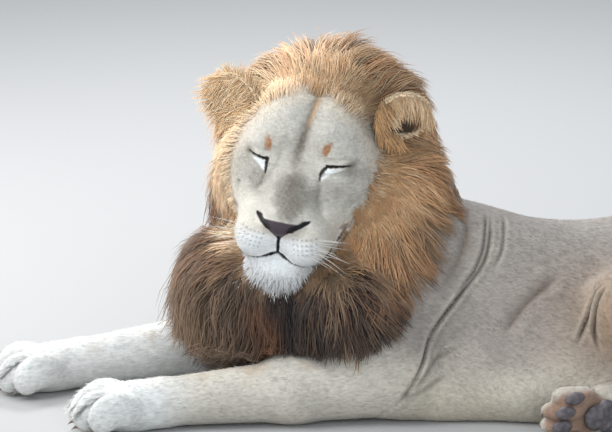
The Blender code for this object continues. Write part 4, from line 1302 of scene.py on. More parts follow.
def lock_mesh(name, paths, outs, widths, colours, material, axis, flat=0.55, soft=0.6):
    """One mesh of closed three-sided locks; widths and colours are given for each point of each path."""
    count, rows = paths.shape[:2]
    ways = np.gradient(paths, axis=1)
    across = unit(np.cross(ways, outs))
    lift = unit(np.cross(across, ways))
    rings, turned = [], []
    for angle in (90, 210, 330):
        c, s = math.cos(math.radians(angle)), math.sin(math.radians(angle))
        rings.append(paths[:, :-1] + (across[:, :-1] * c + lift[:, :-1] * s * flat) * widths[:, :-1, None])
        turned.append(unit(outs[:, :-1] * soft + (across[:, :-1] * c + lift[:, :-1] * s) * (1 - soft)))
    body = np.stack(rings, 2).reshape(count, -1, 3)
    points = np.concatenate((body, paths[:, -1:]), 1).reshape(-1, 3)
    facing = np.concatenate((np.stack(turned, 2).reshape(count, -1, 3), outs[:, -1:]), 1).reshape(-1, 3)
    per = 3 * (rows - 1) + 1
    base = np.arange(count)[:, None] * per
    quads = []
    for k in range(rows - 2):
        for i in range(3):
            j = (i + 1) % 3
            quads.append((3 * k + j, 3 * k + i, 3 * k + 3 + i, 3 * k + 3 + j))
    last = 3 * (rows - 2)
    threes = [(last + (i + 1) % 3, last + i, per - 1) for i in range(3)] + [(0, 1, 2)]
    one = np.array([v for face in quads + threes for v in face])
    sizes = np.array([4] * len(quads) + [3] * len(threes))
    loops = (base + one).ravel()
    totals = np.tile(sizes, count)
    mesh = bpy.data.meshes.new(name)
    mesh.vertices.add(len(points))
    mesh.vertices.foreach_set("co", points.astype(np.float32).ravel())
    mesh.loops.add(len(loops))
    mesh.loops.foreach_set("vertex_index", loops.astype(np.int32))
    mesh.polygons.add(len(totals))
    mesh.polygons.foreach_set("loop_start", (np.cumsum(totals) - totals).astype(np.int32))
    mesh.polygons.foreach_set("use_smooth", np.ones(len(totals), bool))
    mesh.update(calc_edges=True)
    obj = bpy.data.objects.new(name, mesh)
    bpy.context.collection.objects.link(obj)
    shades = np.repeat(colours[:, :-1], 3, axis=1)
    shades = np.concatenate((shades, colours[:, -1:]), 1).reshape(-1, 3)
    set_coat(obj, shades)
    leaning = mesh.attributes.new("custom_normal", "FLOAT_VECTOR", "POINT")
    leaning.data.foreach_set("vector", facing.astype(np.float32).ravel())
    centre = paths[:, 0].mean(0)
    spots = unwrap(paths[:, 0], centre, axis)
    order = np.arange(per)
    patch = np.stack((order % 3 / 2, order // 3 / max(rows - 1, 1)), 1) * 0.003
    layer = mesh.uv_layers.new(name="OFBake")
    corners_uv = (spots[:, None] + patch[None]).reshape(-1, 2)[loops]
    layer.data.foreach_set("uv", corners_uv.astype(np.float32).ravel())
    mesh.materials.append(material)
    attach(obj, "root")


hair = coat_material("mane hair", rough=0.6, streaks=(400, 400, 90), depth=0, sheen=0.15,
                     shade=(0.92, 1.08))
fuzz = coat_material("short hair", rough=0.7, streaks=(300, 300, 300), depth=0, sheen=0.1,
                     shade=(0.92, 1.08))
PIECE_LOCKS = 12000  # as many locks of the mane as one piece may hold


def hair_pieces(name, paths, outs, widths, colours, axis):
    """One region's locks, cut by height into pieces that aren't too heavy."""
    shares = -(-len(paths) // PIECE_LOCKS)
    for k, rows in enumerate(np.array_split(np.argsort(-paths[:, 0, 2]), shares)):
        piece = name if shares == 1 else "%s_%d" % (name, k + 1)
        lock_mesh(piece, paths[rows], outs[rows], widths[rows], colours[rows], hair, axis)


def mane_floor(roots):
    """The height that the mane's tips hang down to, above each root's place."""
    x, y, _ = roots.T
    near = np.interp(y, (-0.66, -0.60, -0.54, -0.454, -0.40, -0.36),
                     (0.125, 0.135, 0.145, 0.165, 0.205, 0.265))
    far = np.interp(y, (-0.78, -0.74, -0.70, -0.66, -0.62), (0.150, 0.138, 0.115, 0.075, 0.030))
    behind = smooth_step(y, -0.56, -0.48) * 0.10 + far
    share = smooth_step(x, 0.065, 0.115)
    return near * share + behind * (1 - share)


def mane():
    """Long locks over the neck, thick as thatch, drawn into wisps."""
    count = MANE_LOCKS
    points, local = skin_points, in_head(skin_points)
    mask = mane_mask(points, 0.020)
    mask = np.maximum(mask, below_chin(points))
    density = (
        mask * (1 + 1.4 * smooth_step(-hairline_distance(local), -0.05, 0.0))
        * (points[:, 2] > mane_floor(points) + 0.004)
    )
    roots, normals, _ = scatter(count, density)
    local = in_head(roots)
    beyond = np.maximum(hairline_distance(local), 0)
    edge = np.interp(roots[:, 2], MANE_EDGE[:, 0], MANE_EDGE[:, 1]) - roots[:, 1]
    full = smooth_step(beyond, 0.0, 0.07)
    crest = smooth_step(local[:, 2], 0.085, 0.125) * smooth_step(0.10 - np.abs(local[:, 0] - 0.01), 0, 0.05)
    lengths = (0.030 + 0.085 * full) * rng.uniform(0.7, 1.3, count)
    heights = (
        (0.010 + 0.032 * full) * (0.40 + 0.60 * smooth_step(edge, 0.0, 0.14)) * rng.uniform(0.2, 1.1, count)
    )
    heights *= (1 + 0.5 * (rng.uniform(size=count) > 0.93)) * (1 + 0.25 * crest)
    far_front = smooth_step(0.30 - roots[:, 2], 0.0, 0.06) * smooth_step(-roots[:, 1], 0.62, 0.70)
    heights *= 1 + 0.8 * far_front * (rng.uniform(size=count) > 0.84)
    lengths *= (0.60 + 0.40 * smooth_step(edge, 0.0, 0.10)) * (1 - 0.25 * crest)
    hanging = roots[:, 2] - mane_floor(roots)
    ragged = rng.uniform(-0.012, 0.022, count) + 0.030 * (rng.uniform(size=count) > 0.86)
    lengths = np.clip(np.minimum(lengths, (hanging + ragged) * 1.15), 0.012, None)
    stray = (
        unit(rng.normal(size=(count, 3))) * rng.choice((0.10, 0.26, 0.60), (count, 1), p=(0.50, 0.34, 0.16))
    )
    wave = np.stack([lumps(roots, 0.085, seed) for seed in (41, 42, 43)], 1) * 0.38
    paths, outs = comb(roots, normals, lengths, heights, lambda p, s: unit(mane_flow(p, s) + stray + wave),
                       3)
    paths, clump = gather(roots, paths, 14, 0.62, 31)
    paths, _ = gather(roots, paths, 120, 0.30, 32)
    s = np.linspace(0, 1, 4)
    wobble = rng.normal(size=(count, 1, 3)) * 0.0030 + rng.normal(size=(count, 4, 3)) * 0.0010
    paths = inside_frame(lift_clear(paths + wobble * s[None, :, None] ** 1.3))
    taper = np.array((0.9, 1.0, 0.72, 0.0))
    widths = (rng.uniform(0.0007, 0.0015, count) * (0.66 + 0.34 * full))[:, None] * taper
    middle = roots * 0.35 + paths[:, -1] * 0.65
    colour = mane_colour(middle, in_head(middle))
    own = np.random.default_rng(33)
    tone_of_clump = own.uniform(0.80, 1.18, clump.max() + 1)[clump]
    brown_share = (
        (own.uniform(size=clump.max() + 1) ** 2)[clump] * smooth_step(local[:, 0], 0.02, 0.14) * 0.75
    )
    colour = mix(colour, MANE_BROWN, brown_share * smooth_step(beyond, 0.0, 0.03))
    ginger_share = (
        (own.uniform(size=clump.max() + 1) ** 2)[clump] * smooth_step(local[:, 2], -0.26, -0.14) * 0.55
    )
    colour = mix(colour, GINGER, ginger_share)
    bright = tone_of_clump * rng.uniform(0.90, 1.12, count)
    # painted shade: locks that lie low, deep in the mane, are darker
    deep = 0.72 + 0.28 * smooth_step(heights / 0.04, 0.1, 0.8)
    # painted shade at the root, lighter towards the tip
    lock_root_shade = np.array((0.72, 0.88, 1.04, 1.14))
    colours = colour[:, None] * (bright * deep)[:, None, None] * lock_root_shade[None, :, None]
    # many of the dark locks low on the chest have fair tips
    fair = (
        own.uniform(size=count) ** 2 * smooth_step(0.30 - roots[:, 2], 0.0, 0.08)
        * np.interp(roots[:, 1], (-0.72, -0.66), (0.9, 0.20))
    )
    tips = fair[:, None, None] * np.array((0, 0.15, 0.6, 0.9))[None, :, None]
    colours = colours * (1 - tips) + MANE_BROWN * 1.05 * tips
    parts = {
        "mane_hair_crown": local[:, 2] > 0.075,
        "mane_hair_right": (local[:, 0] < 0.0) & (roots[:, 2] > 0.24),
        "mane_hair_chest": roots[:, 2] <= 0.24,
        "mane_hair_nape": roots[:, 1] > -0.36,
        "mane_hair_left": np.ones(count, bool),
    }
    taken = np.zeros(count, bool)
    for name, rows in parts.items():
        rows = rows & ~taken
        taken |= rows
        axis = HEAD[:, 2] if name != "mane_hair_crown" else HEAD[:, 1]
        hair_pieces(name, paths[rows], outs[rows], widths[rows], colours[rows], axis)


mane()


def tuft(name, starts, ways, bends, lengths, widths, colours, axis, outs, keep=None):
    """Free locks that set out one way and bend another; colours are for each root."""
    s = np.linspace(0, 1, 5)
    paths = (
        starts[:, None] + (ways[:, None] * s[None, :, None] + bends[:, None] * s[None, :, None] ** 2)
        * lengths[:, None, None]
    )
    if keep is not None:
        paths = keep(paths)
    paths = inside_frame(paths)
    taper = np.array((0.9, 1.0, 0.85, 0.55, 0.0))
    # painted shade at the root, lighter towards the tip
    shades = np.array((0.70, 0.85, 1.0, 1.10, 1.18))
    faces_out = np.repeat(outs[:, None], 5, 1)
    lock_mesh(name, paths, faces_out, widths[:, None] * taper, colours[:, None] * shades[None, :, None],
              hair, axis)


def ear_hair(name):
    """Hair that sweeps over the cup from its inner edge, a soft rim, and fur behind."""
    side = EARS[name][0]
    axes, centre = ear_frames[name]
    own = np.random.default_rng(51 if name == "left" else 52)

    def place(angle, share, depth):
        ring = (
            np.stack((np.cos(angle) * side, np.zeros(len(angle)), np.sin(angle)), 1) * EAR_RADII
            * share[:, None]
        )
        ring[:, 1] = depth
        return ring

    starts, ways, bends, lengths, widths, colours, outs = [], [], [], [], [], [], []

    def add(start, way, bend, length, width, colour):
        count = len(start)
        starts.append(start @ axes.T + centre)
        ways.append(unit(way) @ axes.T)
        bends.append(bend @ axes.T)
        lengths.append(length)
        widths.append(np.full(count, width) * own.uniform(0.7, 1.3, count))
        colours.append(colour * own.uniform(0.78, 1.15, count)[:, None])
        outs.append(np.repeat((unit(np.array((0, -0.9, 0.45)) @ axes.T))[None], count, 0))

    few = 1
    shaggy = name == "right"
    # from the edge next to the crown, sweeping outward over the opening
    count = (700 if shaggy else 620) // few
    angle = own.uniform(math.radians(60), math.radians(225 if not shaggy else 300), count)
    start = place(angle, own.uniform(0.80, 1.02, count), own.uniform(-0.004, 0.004, count))
    toward = np.stack((np.full(count, side * 0.90), np.full(count, -0.34), -0.40 * np.sin(angle)), 1)
    toward += own.normal(size=(count, 3)) * 0.16
    colour = mix(np.repeat(GOLD[None], count, 0), PALE_GOLD, own.uniform(size=count))
    bend = np.repeat(((side * 0.05, 0.24, -0.10 if shaggy else -0.28),), count, 0)
    add(start, toward, bend, own.uniform(0.018, 0.052 if shaggy else 0.062, count), 0.0009, colour)
    if shaggy:
        # the other ear is filled with long hair that points outwards and down
        count = 1300 // few
        angle = own.uniform(0, 2 * math.pi, count)
        start = place(angle, own.uniform(0.1, 1.16, count) ** 0.5, own.uniform(-0.004, 0.006, count))
        spread = own.uniform(-1.10, 0.75, count)
        toward = np.stack((np.full(count, side * 0.95), np.full(count, -0.30), spread), 1)
        colour = mix(np.repeat(PALE_GOLD[None], count, 0), GOLD, own.uniform(size=count))
        bend = np.repeat(((side * 0.10, 0.20, -0.20),), count, 0)
        add(start, toward, bend, own.uniform(0.026, 0.068, count), 0.0010, colour)
    else:
        # the mane's hair lies over the foot of the cup
        count = 620 // few
        angle = own.uniform(math.radians(185), math.radians(305), count)
        start = place(angle, own.uniform(0.92, 1.24, count), own.uniform(-0.016, -0.002, count))
        spread = own.uniform(-0.55, 0.15, count)
        toward = np.stack((np.full(count, side * 0.55), np.full(count, -0.25), spread), 1)
        colour = mix(np.repeat(GOLD[None], count, 0), MANE_BROWN, own.uniform(size=count) ** 2)
        bend = np.repeat(((side * 0.15, 0.25, -0.25),), count, 0)
        add(start, toward, bend, own.uniform(0.018, 0.042, count), 0.0010, colour)
    # close along the rim, and longer at its foot
    count = 700 // few
    angle = own.uniform(0, 2 * math.pi, count)
    start = place(angle, own.uniform(0.96, 1.0, count), own.uniform(-0.003, 0.004, count))
    fan = (
        np.stack((np.cos(angle) * side, own.uniform(0.1, 1.4, count), np.sin(angle) + 0.1), 1)
        + own.normal(size=(count, 3)) * 0.10
    )
    fan += np.stack((np.sin(angle) * side, np.zeros(count), -np.cos(angle)), 1) * 1.1
    low = smooth_step(-np.sin(angle), 0.6, 1.0) * 0.15 if not shaggy else np.ones(count)
    length = own.uniform(0.0035, 0.0065, count) + own.uniform(0.010, 0.036, count) * low
    colour = mix(np.repeat(PALE_GOLD[None], count, 0), GOLD, own.uniform(size=count) * low)
    add(start, fan, np.repeat(((0, 0.25, -0.15),), count, 0), length, 0.0008 if shaggy else 0.0006, colour)
    # short fur over the back of the ear, dark in the middle
    count = 700 // few
    way = unit(own.normal(size=(count, 3)) * (1, 0.8, 1))
    way[:, 1] = np.abs(way[:, 1])
    start = way * EAR_RADII
    back = (
        np.stack((way[:, 0] * 0.5, np.full(count, -0.35), way[:, 2] * 0.5 + 0.55), 1)
        + own.normal(size=(count, 3)) * 0.15
    )
    back -= way * ((back * way).sum(1, keepdims=True) - 0.25)
    colour = mix(np.repeat(PALE_GOLD[None], count, 0), EAR_BACK_DARK_AND_HOLLOW_SHADE, smooth_step(way[:, 1], 0.25, 0.65))
    add(start, back, np.zeros((count, 3)), own.uniform(0.008, 0.016, count), 0.0013, colour)
    rows = [np.concatenate(part) for part in (starts, ways, bends, lengths, widths, colours, outs)]
    tuft("ear_hair_" + name, rows[0], rows[1], rows[2], rows[3], rows[4], rows[5], axes[:, 2],
         rows[6])


for name in EARS:
    ear_hair(name)


def face_flow(points):
    """Away from the nose, over the muzzle, cheeks and forehead."""
    local = in_head(points)
    return unit(local - (0.0, -0.150, -0.080)) @ HEAD.T


def body_flow(points):
    """Back along the trunk, down the sides and out along the limbs and the tail."""
    x, y, z = points.T
    downward = -0.15 - 0.5 * smooth_step(np.abs(x), 0.05, 0.2)
    flow = np.stack((np.sign(x - 0.03) * 0.25, np.full(len(x), 0.80), downward), 1)
    legs = [(fore[name]["elbow"], fore[name]["wrist"], fore[name]["toes"]) for name in ("left", "right")]
    for leg in hind.values():
        legs.append((leg["hip"], leg["knee"], leg["hock"], leg["toes"]))
    legs.append(tuple(tuple(p) for p in tail_line[10::12]))
    for chain in legs:
        for a, b in zip(chain[:-1], chain[1:]):
            a, b = np.array(a), np.array(b)
            t = np.clip((points - a) @ (b - a) / ((b - a) @ (b - a)), 0, 1)
            d = np.linalg.norm(points - a - t[:, None] * (b - a), axis=1)
            share = (
                smooth_step(0.13 - d, 0, 0.05)[:, None]
                * (0.95 if chain[0][1] < 0.3 or len(chain) > 4 else 0.7)
            )
            flow = flow * (1 - share) + unit(b - a) * share
    return unit(flow)


BARE_BESIDE = {"tear": 0.0105, "slit": 0.0075}  # how far the hair keeps from the lines of the eye


def short_coat(name, count, density, length, width, flow, axis, tilt=0.30, shade=(0.8, 1.2),
               bend=False):
    """Small tufts that lie along the skin; length and width may be numbers or functions of the roots."""
    count = count
    roots, normals, colours = scatter(count, density)
    lengths = (length(roots) if callable(length) else length) * rng.uniform(0.7, 1.3, count)
    widths = (width(roots) if callable(width) else width) * rng.uniform(0.8, 1.2, count)
    way = flow(roots) + rng.normal(size=(count, 3)) * 0.16
    way = unit(way - normals * (way * normals).sum(1, keepdims=True))
    steep = tilt * rng.uniform(0.5, 1.4, count)[:, None]
    tips = roots + (way * np.sqrt(np.maximum(1 - steep**2, 0.1)) + normals * steep) * lengths[:, None]
    tips[:, 2] = np.maximum(tips[:, 2], 0.001)
    start = roots - normals * 0.0008
    if bend:
        middle = (start + tips) / 2 + normals * (lengths * 0.10)[:, None]
        paths = np.stack((start, middle, tips), 1)
        rows = np.stack((widths, widths * 0.8, widths * 0), 1)
        # painted shade at the root, lighter towards the tip
        shades = np.array((0.85, 1.0, 1.1))
    else:
        paths = np.stack((start, tips), 1)
        rows = np.stack((widths, widths * 0), 1)
        # painted shade at the root, lighter towards the tip
        shades = np.array((0.88, 1.08))
    paths[:, :, 2] = np.maximum(paths[:, :, 2], 0.0008)
    outs = np.repeat(normals[:, None], paths.shape[1], 1)
    colours = colours[:, None] * shades[None, :, None] * rng.uniform(*shade, count)[:, None, None]
    lock_mesh(name, paths, outs, rows, colours, fuzz, axis, soft=0.85)


def short_coats():
    points, local = uncut_points, in_head(uncut_points)
    beyond = hairline_distance(local)
    mane_share = mane_mask(points, 0.02)
    on_head = group_distance(points, "head") < 0.02
    on_ear = group_distance(points, "ear") < 0.006
    face = on_head & (beyond < 0.012) & ~on_ear
    bare = nose_mask(local)
    for name, path in face_lines.items():
        bare = np.maximum(bare, along(local, path)[0] < BARE_BESIDE.get(name.split()[0], 0.0035))
    off_floor = smooth_step(skin_points[:, 2], GROUND + 0.001, GROUND + 0.006)
    muzzle = smooth_step(-local[:, 1], -0.02, 0.06)
    density = face * (1 - bare) * (0.7 + 0.9 * muzzle)
    short_coat("face_hair", FACE_HAIRS, density,
               lambda p: np.interp(in_head(p)[:, 1], (-0.12, -0.02, 0.10), (0.0045, 0.006, 0.011)),
               0.00042, face_flow, HEAD[:, 2], tilt=0.26, shade=(0.84, 1.14))
    rim = on_head * smooth_step(beyond, -0.012, 0.0) * smooth_step(-beyond, -0.035, -0.02) * ~on_ear
    rim_colours = skin_colours.copy()
    skin_colours[:] = mix(skin_colours, mane_colour(points, local), smooth_step(beyond, -0.012, 0.0)
                          * on_head)
    short_coat("rim_hair", RIM_HAIRS, rim,
               lambda p: np.interp(in_head(p)[:, 2], (-0.10, -0.02), (0.012, 0.026)), 0.00065,
               lambda p: mane_flow(p, 0.2), HEAD[:, 2], tilt=0.45, bend=True)
    skin_colours[:] = rim_colours
    legs = group_distance(points, "leg") < 0.012
    tail_part = group_distance(points, "tail") < 0.008
    body = ~face & ~on_ear & (mane_share < 0.6) & ~(on_head & (beyond < 0.03))
    soles = bell(np.linalg.norm(points - (0.470, -0.110, 0.055), axis=1), 0.06)
    in_fold = np.zeros(len(points), bool)
    for path, _, width in fold_lines.values():
        in_fold |= (along(points, path)[0] < 0.0030) & (width < 0.008)
    trunk_rows = body & ~legs & ~tail_part & ~in_fold
    short_coat("body_hair", BODY_HAIRS, trunk_rows * off_floor, 0.011, 0.00085, body_flow,
               (0, 1, 0.0), tilt=0.20, shade=(0.84, 1.14))
    limb_rows = body & (legs | tail_part) & ~in_fold
    short_coat("limb_hair", LIMB_HAIRS, limb_rows * off_floor * (1 - 0.9 * soles),
               lambda p: np.interp(p[:, 1], (-1.1, -0.85, -0.5), (0.0115, 0.0105, 0.012)),
               0.00078, body_flow, (0, 1, 0.0), tilt=0.27)


short_coats()


def chin_hair():
    """The chin's soft white beard, and the fringe along the lower lip."""
    points, local = uncut_points, in_head(uncut_points)
    chin = (
        smooth_step(-local[:, 2], 0.162, 0.178) * (local[:, 1] < 0.05)
        * smooth_step(0.075 - np.abs(local[:, 0]), 0, 0.015)
    )
    chin = chin * (group_distance(points, "head") < 0.02)
    count = 1900
    roots, normals, _ = scatter(count, chin)
    local = in_head(roots)
    own = np.random.default_rng(61)
    way = (
        np.stack((local[:, 0] * 4.0, np.full(count, -0.15), np.full(count, -0.75)), 1)
        + own.normal(size=(count, 3)) * 0.22
    )
    way = unit(unit(way) @ HEAD.T + normals * 0.45)
    lengths = np.interp(local[:, 2], (-0.22, -0.17), (0.024, 0.010)) * own.uniform(0.6, 1.25, count)
    colour = np.repeat(MUZZLE_WHITE[None], count, 0) * own.uniform(0.85, 1.1, count)[:, None]
    bend = np.repeat((HEAD @ (0, 0.20, -0.25))[None], count, 0)
    tuft("chin_hair", roots - normals * 0.001, way, bend, lengths,
         own.uniform(0.0007, 0.0012, count), colour, HEAD[:, 2], normals)


def whiskers():
    """Stiff white whiskers from the rows of dark spots."""
    own = np.random.default_rng(62)
    spots = [(side, row, k) for side in (1, -1) for row in range(4) for k in range(2, 6)]
    at = [
        (side * (0.030 + 0.0085 * k + 0.002 * row), -0.104 - 0.0095 * row + 0.0012 * k)
        for side, row, k in spots
    ]
    roots = from_head(on_face(at))
    sides = np.array([side for side, _, _ in spots], float)
    rows = np.array([row for _, row, _ in spots], float)
    count = len(spots)
    way = (
        np.stack((sides * 0.95, own.uniform(-0.25, 0.05, count), 0.10 - 0.12 * rows), 1)
        + own.normal(size=(count, 3)) * 0.07
    )
    bend = np.stack((sides * 0.0, own.uniform(0.30, 0.50, count), -0.22 + own.uniform(-0.1, 0.1, count)), 1)
    lengths = own.uniform(0.055, 0.085, count)
    colour = np.repeat(tone(246, 242, 232)[None], count, 0)
    out = np.repeat((HEAD @ (0, -1.0, 0))[None], count, 0)
    tuft("whiskers", roots, unit(way) @ HEAD.T, bend @ HEAD.T, lengths, np.full(count, 0.00042),
         colour, HEAD[:, 2], out)


def tail_tuft():
    """Dark long hair round the tail's end."""
    own = np.random.default_rng(63)
    count = 1700
    path = np.concatenate((tail_line[-12:], tuft_line[1:]))
    spot = own.uniform(0, len(path) - 1.01, count)
    k = spot.astype(int)
    share = (spot - k)[:, None]
    start = path[k] * (1 - share) + path[k + 1] * share
    ahead = unit(path[k + 1] - path[k])
    side = unit(own.normal(size=(count, 3)))
    side = unit(side - ahead * (side * ahead).sum(1, keepdims=True))
    part = spot / len(path)
    start = start + side * 0.009
    start[:, 2] = np.maximum(start[:, 2], 0.004)
    way = unit(ahead + side * own.uniform(0.10, 0.55, count)[:, None]
               * smooth_step(part, 0.2, 0.6)[:, None] + own.normal(size=(count, 3)) * 0.06)
    lengths = np.interp(part, (0, 0.4, 0.8, 1), (0.018, 0.060, 0.075, 0.050)) * own.uniform(0.7, 1.2, count)
    colour = (
        mix(np.repeat(BACK_GREY[None], count, 0), TAIL_DARK, smooth_step(part, 0.2, 0.5))
        * own.uniform(0.7, 1.3, count)[:, None]
    )
    bend = np.repeat(((0, 0, -0.10),), count, 0)

    def keep(paths):
        paths[:, :, 2] = np.maximum(paths[:, :, 2], 0.003)
        return paths

    tuft("tail_tuft_hair", start, way, bend, lengths, own.uniform(0.0010, 0.0018, count),
         colour, (1, -1, 0), side, keep=keep)


def foot_tufts():
    """Pale hair between the toes."""
    own = np.random.default_rng(64)
    starts, ways = [], []
    per = 120
    for path in crease_lines:
        spot = own.uniform(0.25, 1.0, per) * (len(path) - 1.01)
        k = spot.astype(int)
        share = (spot - k)[:, None]
        starts.append(path[k] * (1 - share) + path[k + 1] * share)
        ways.append(unit(path[-1] - path[0] + own.normal(size=(per, 3)) * 0.02))
    starts, ways = np.concatenate(starts), np.concatenate(ways)
    count = len(starts)
    lengths = own.uniform(0.010, 0.024, count)
    colour = np.repeat(PAW_WHITE[None], count, 0) * own.uniform(0.80, 1.12, count)[:, None]
    up = np.repeat(((0, 0, 1.0),), count, 0)

    def keep(paths):
        paths[:, :, 2] = np.maximum(paths[:, :, 2], 0.003)
        return paths

    tuft("toe_hair", starts - up * 0.001, unit(ways + up * 0.35), -0.3 * up, lengths,
         own.uniform(0.0006, 0.0011, count), colour, (0, 1, 0), up, keep=keep)


chin_hair()
whiskers()
tail_tuft()
foot_tufts()


# ---------------------------------------------------------------- eyes, claws and pads


def surface(name, low, high, scale, rough, depth, stretch=(1, 1, 1), cells=0.0):
    """A bare surface whose shade wanders from low to high, with its grain or cracks in relief."""
    material = bpy.data.materials.new(name)
    material.use_nodes = True
    nodes_of, links = material.node_tree.nodes, material.node_tree.links
    shader = nodes_of["Principled BSDF"]
    shader.inputs["Roughness"].default_value = rough
    place = nodes_of.new("ShaderNodeTexCoord").outputs["Object"]
    grain = noise_node(nodes_of, links, place, scale, 5.0, stretch)
    blend = nodes_of.new("ShaderNodeMix")
    blend.data_type = "RGBA"
    blend.inputs["A"].default_value = (*low, 1)
    blend.inputs["B"].default_value = (*high, 1)
    links.new(ramp(nodes_of, links, grain, 0.0, 1.0), blend.inputs["Factor"])
    links.new(blend.outputs["Result"], shader.inputs["Base Color"])
    height = grain
    if cells:
        pebbles = nodes_of.new("ShaderNodeTexVoronoi")
        pebbles.inputs["Scale"].default_value = cells
        links.new(place, pebbles.inputs["Vector"])
        height = pebbles.outputs["Distance"]
    bump = nodes_of.new("ShaderNodeBump")
    bump.inputs["Distance"].default_value = depth
    bump.inputs["Strength"].default_value = 0.8
    links.new(height, bump.inputs["Height"])
    links.new(bump.outputs["Normal"], shader.inputs["Normal"])
    return material


def horn(name, node, ahead, length, radius):
    """A curved claw, drawn out ring by ring from its root."""
    place = sum(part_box(node), Vector()) / 2 - ahead * length * 0.45
    bpy.ops.mesh.primitive_circle_add(vertices=12, radius=radius, fill_type="NGON", location=(0, 0, 0))
    obj = choose(bpy.context.object)
    obj.name = name
    turn = ahead.to_track_quat("Z", "Y").to_matrix().to_4x4()
    obj.data.transform(Matrix.Translation(place) @ turn @ Matrix.Diagonal((0.68, 1, 1, 1)))
    bpy.ops.object.mode_set(mode="EDIT")
    bpy.ops.mesh.select_mode(type="FACE")
    bpy.ops.mesh.select_all(action="SELECT")
    rings, width = 7, 1.0
    for k in range(1, rings + 1):
        t = k / rings
        way = (ahead * (1 - 0.35 * t) - UP * 0.75 * t).normalized()
        place = place + way * (length / rings)
        bpy.ops.mesh.extrude_region_move(TRANSFORM_OT_translate={"value": way * (length / rings)})
        narrower = max(1 - t**1.4, 0.06)
        bpy.ops.transform.resize(value=(narrower / width,) * 3, center_override=place)
        width = narrower
    bpy.ops.mesh.select_all(action="SELECT")
    bpy.ops.mesh.normals_make_consistent(inside=False)
    bpy.ops.object.mode_set(mode="OBJECT")
    obj.data.shade_smooth()
    obj.data.materials.append(horny)
    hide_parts(node)
    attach(obj, "root")


PAD_STANDS = 0.0052  # how far the pads stand out beyond their solids


def cushion(name, node, lobes, ahead, outer):
    """A toe or heel pad of fused lobes, each given ahead, outward and up from its middle, with its radii."""
    middle = sum(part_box(node), Vector()) / 2 + outer * PAD_STANDS
    axes = Matrix((ahead, outer, UP)).transposed().to_4x4()
    deselect()
    eggs = []
    for place, radii in lobes:
        bpy.ops.mesh.primitive_ico_sphere_add(subdivisions=4, radius=1.0, location=(0, 0, 0))
        egg = bpy.context.object
        egg.data.transform(Matrix.Translation(middle) @ axes @ Matrix.Translation(place)
                           @ Matrix.Diagonal((*radii, 1.0)))
        eggs.append(egg)
    for egg in eggs:
        egg.select_set(True)
    bpy.context.view_layer.objects.active = eggs[0]
    if len(eggs) > 1:
        bpy.ops.object.join()
    obj = bpy.context.object
    obj.name = name
    fuse = obj.modifiers.new("fuse", "REMESH")
    fuse.mode = "VOXEL"
    fuse.voxel_size = 0.0014
    apply_modifiers(obj)
    relax(obj, 3)
    obj.data.shade_smooth()
    obj.data.materials.append(leather)
    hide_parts(node)
    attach(obj, "root")


def eyeball(name, node, centre):
    """A whole eye behind its closed lids, with its iris and pupil."""
    bpy.ops.mesh.primitive_uv_sphere_add(segments=40, ring_count=24, radius=1.0, location=(0, 0, 0))
    obj = choose(bpy.context.object)
    obj.name = name
    axes = Matrix(HEAD).to_4x4() @ Matrix.Rotation(math.radians(90), 4, "X")
    obj.data.transform(Matrix.Translation(Vector(centre)) @ axes @ Matrix.Scale(EYE_RADIUS - 0.0008, 4))
    material = bpy.data.materials.new(name.replace("_", " "))
    material.use_nodes = True
    nodes_of, links = material.node_tree.nodes, material.node_tree.links
    shader = nodes_of["Principled BSDF"]
    shader.inputs["Roughness"].default_value = 0.08
    away = nodes_of.new("ShaderNodeVectorMath")
    away.operation = "DISTANCE"
    away.inputs[1].default_value = centre + HEAD @ (0, -EYE_RADIUS, 0)
    place = nodes_of.new("ShaderNodeTexCoord").outputs["Object"]
    links.new(place, away.inputs[0])
    rings = nodes_of.new("ShaderNodeValToRGB")
    stops = ((0.0, (0.01, 0.01, 0.01)), (0.16, (0.01, 0.01, 0.01)), (0.20, (0.42, 0.22, 0.05)),
             (0.44, (0.30, 0.15, 0.04)),
             (0.50, (0.03, 0.02, 0.02)), (0.56, (0.75, 0.70, 0.64)))
    while len(rings.color_ramp.elements) < len(stops):
        rings.color_ramp.elements.new(1.0)
    for element, (spot, colour) in zip(rings.color_ramp.elements, stops):
        element.position = spot
        element.color = (*colour, 1)
    scale = nodes_of.new("ShaderNodeMath")
    scale.operation = "DIVIDE"
    scale.inputs[1].default_value = 2 * EYE_RADIUS
    links.new(away.outputs["Value"], scale.inputs[0])
    links.new(scale.outputs["Value"], rings.inputs["Fac"])
    threads = noise_node(nodes_of, links, place, 500.0)
    tint = nodes_of.new("ShaderNodeVectorMath")
    tint.operation = "SCALE"
    links.new(rings.outputs["Color"], tint.inputs[0])
    links.new(ramp(nodes_of, links, threads, 0.8, 1.2), tint.inputs["Scale"])
    links.new(tint.outputs["Vector"], shader.inputs["Base Color"])
    obj.data.shade_smooth()
    obj.data.materials.append(material)
    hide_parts(node)
    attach(obj, "root")


horny = surface("claw horn", tone(70, 58, 50), tone(150, 134, 116), 60.0, 0.35, 0.0002, (8, 1, 8))
leather = surface("pad leather", tone(74, 68, 72), tone(120, 112, 114), 90.0, 0.62, 0.0006, cells=520.0)

for name, leg in fore.items():
    reach_of_paw = Vector(leg["toes"]) - Vector(leg["wrist"])
    for k in range(1, 5):
        horn("curved_claw_%s_%d" % (name, k), "claw_%s_%d" % (name, k),
             Vector((reach_of_paw.x, reach_of_paw.y, 0)).normalized(),
             0.017, 0.0040)

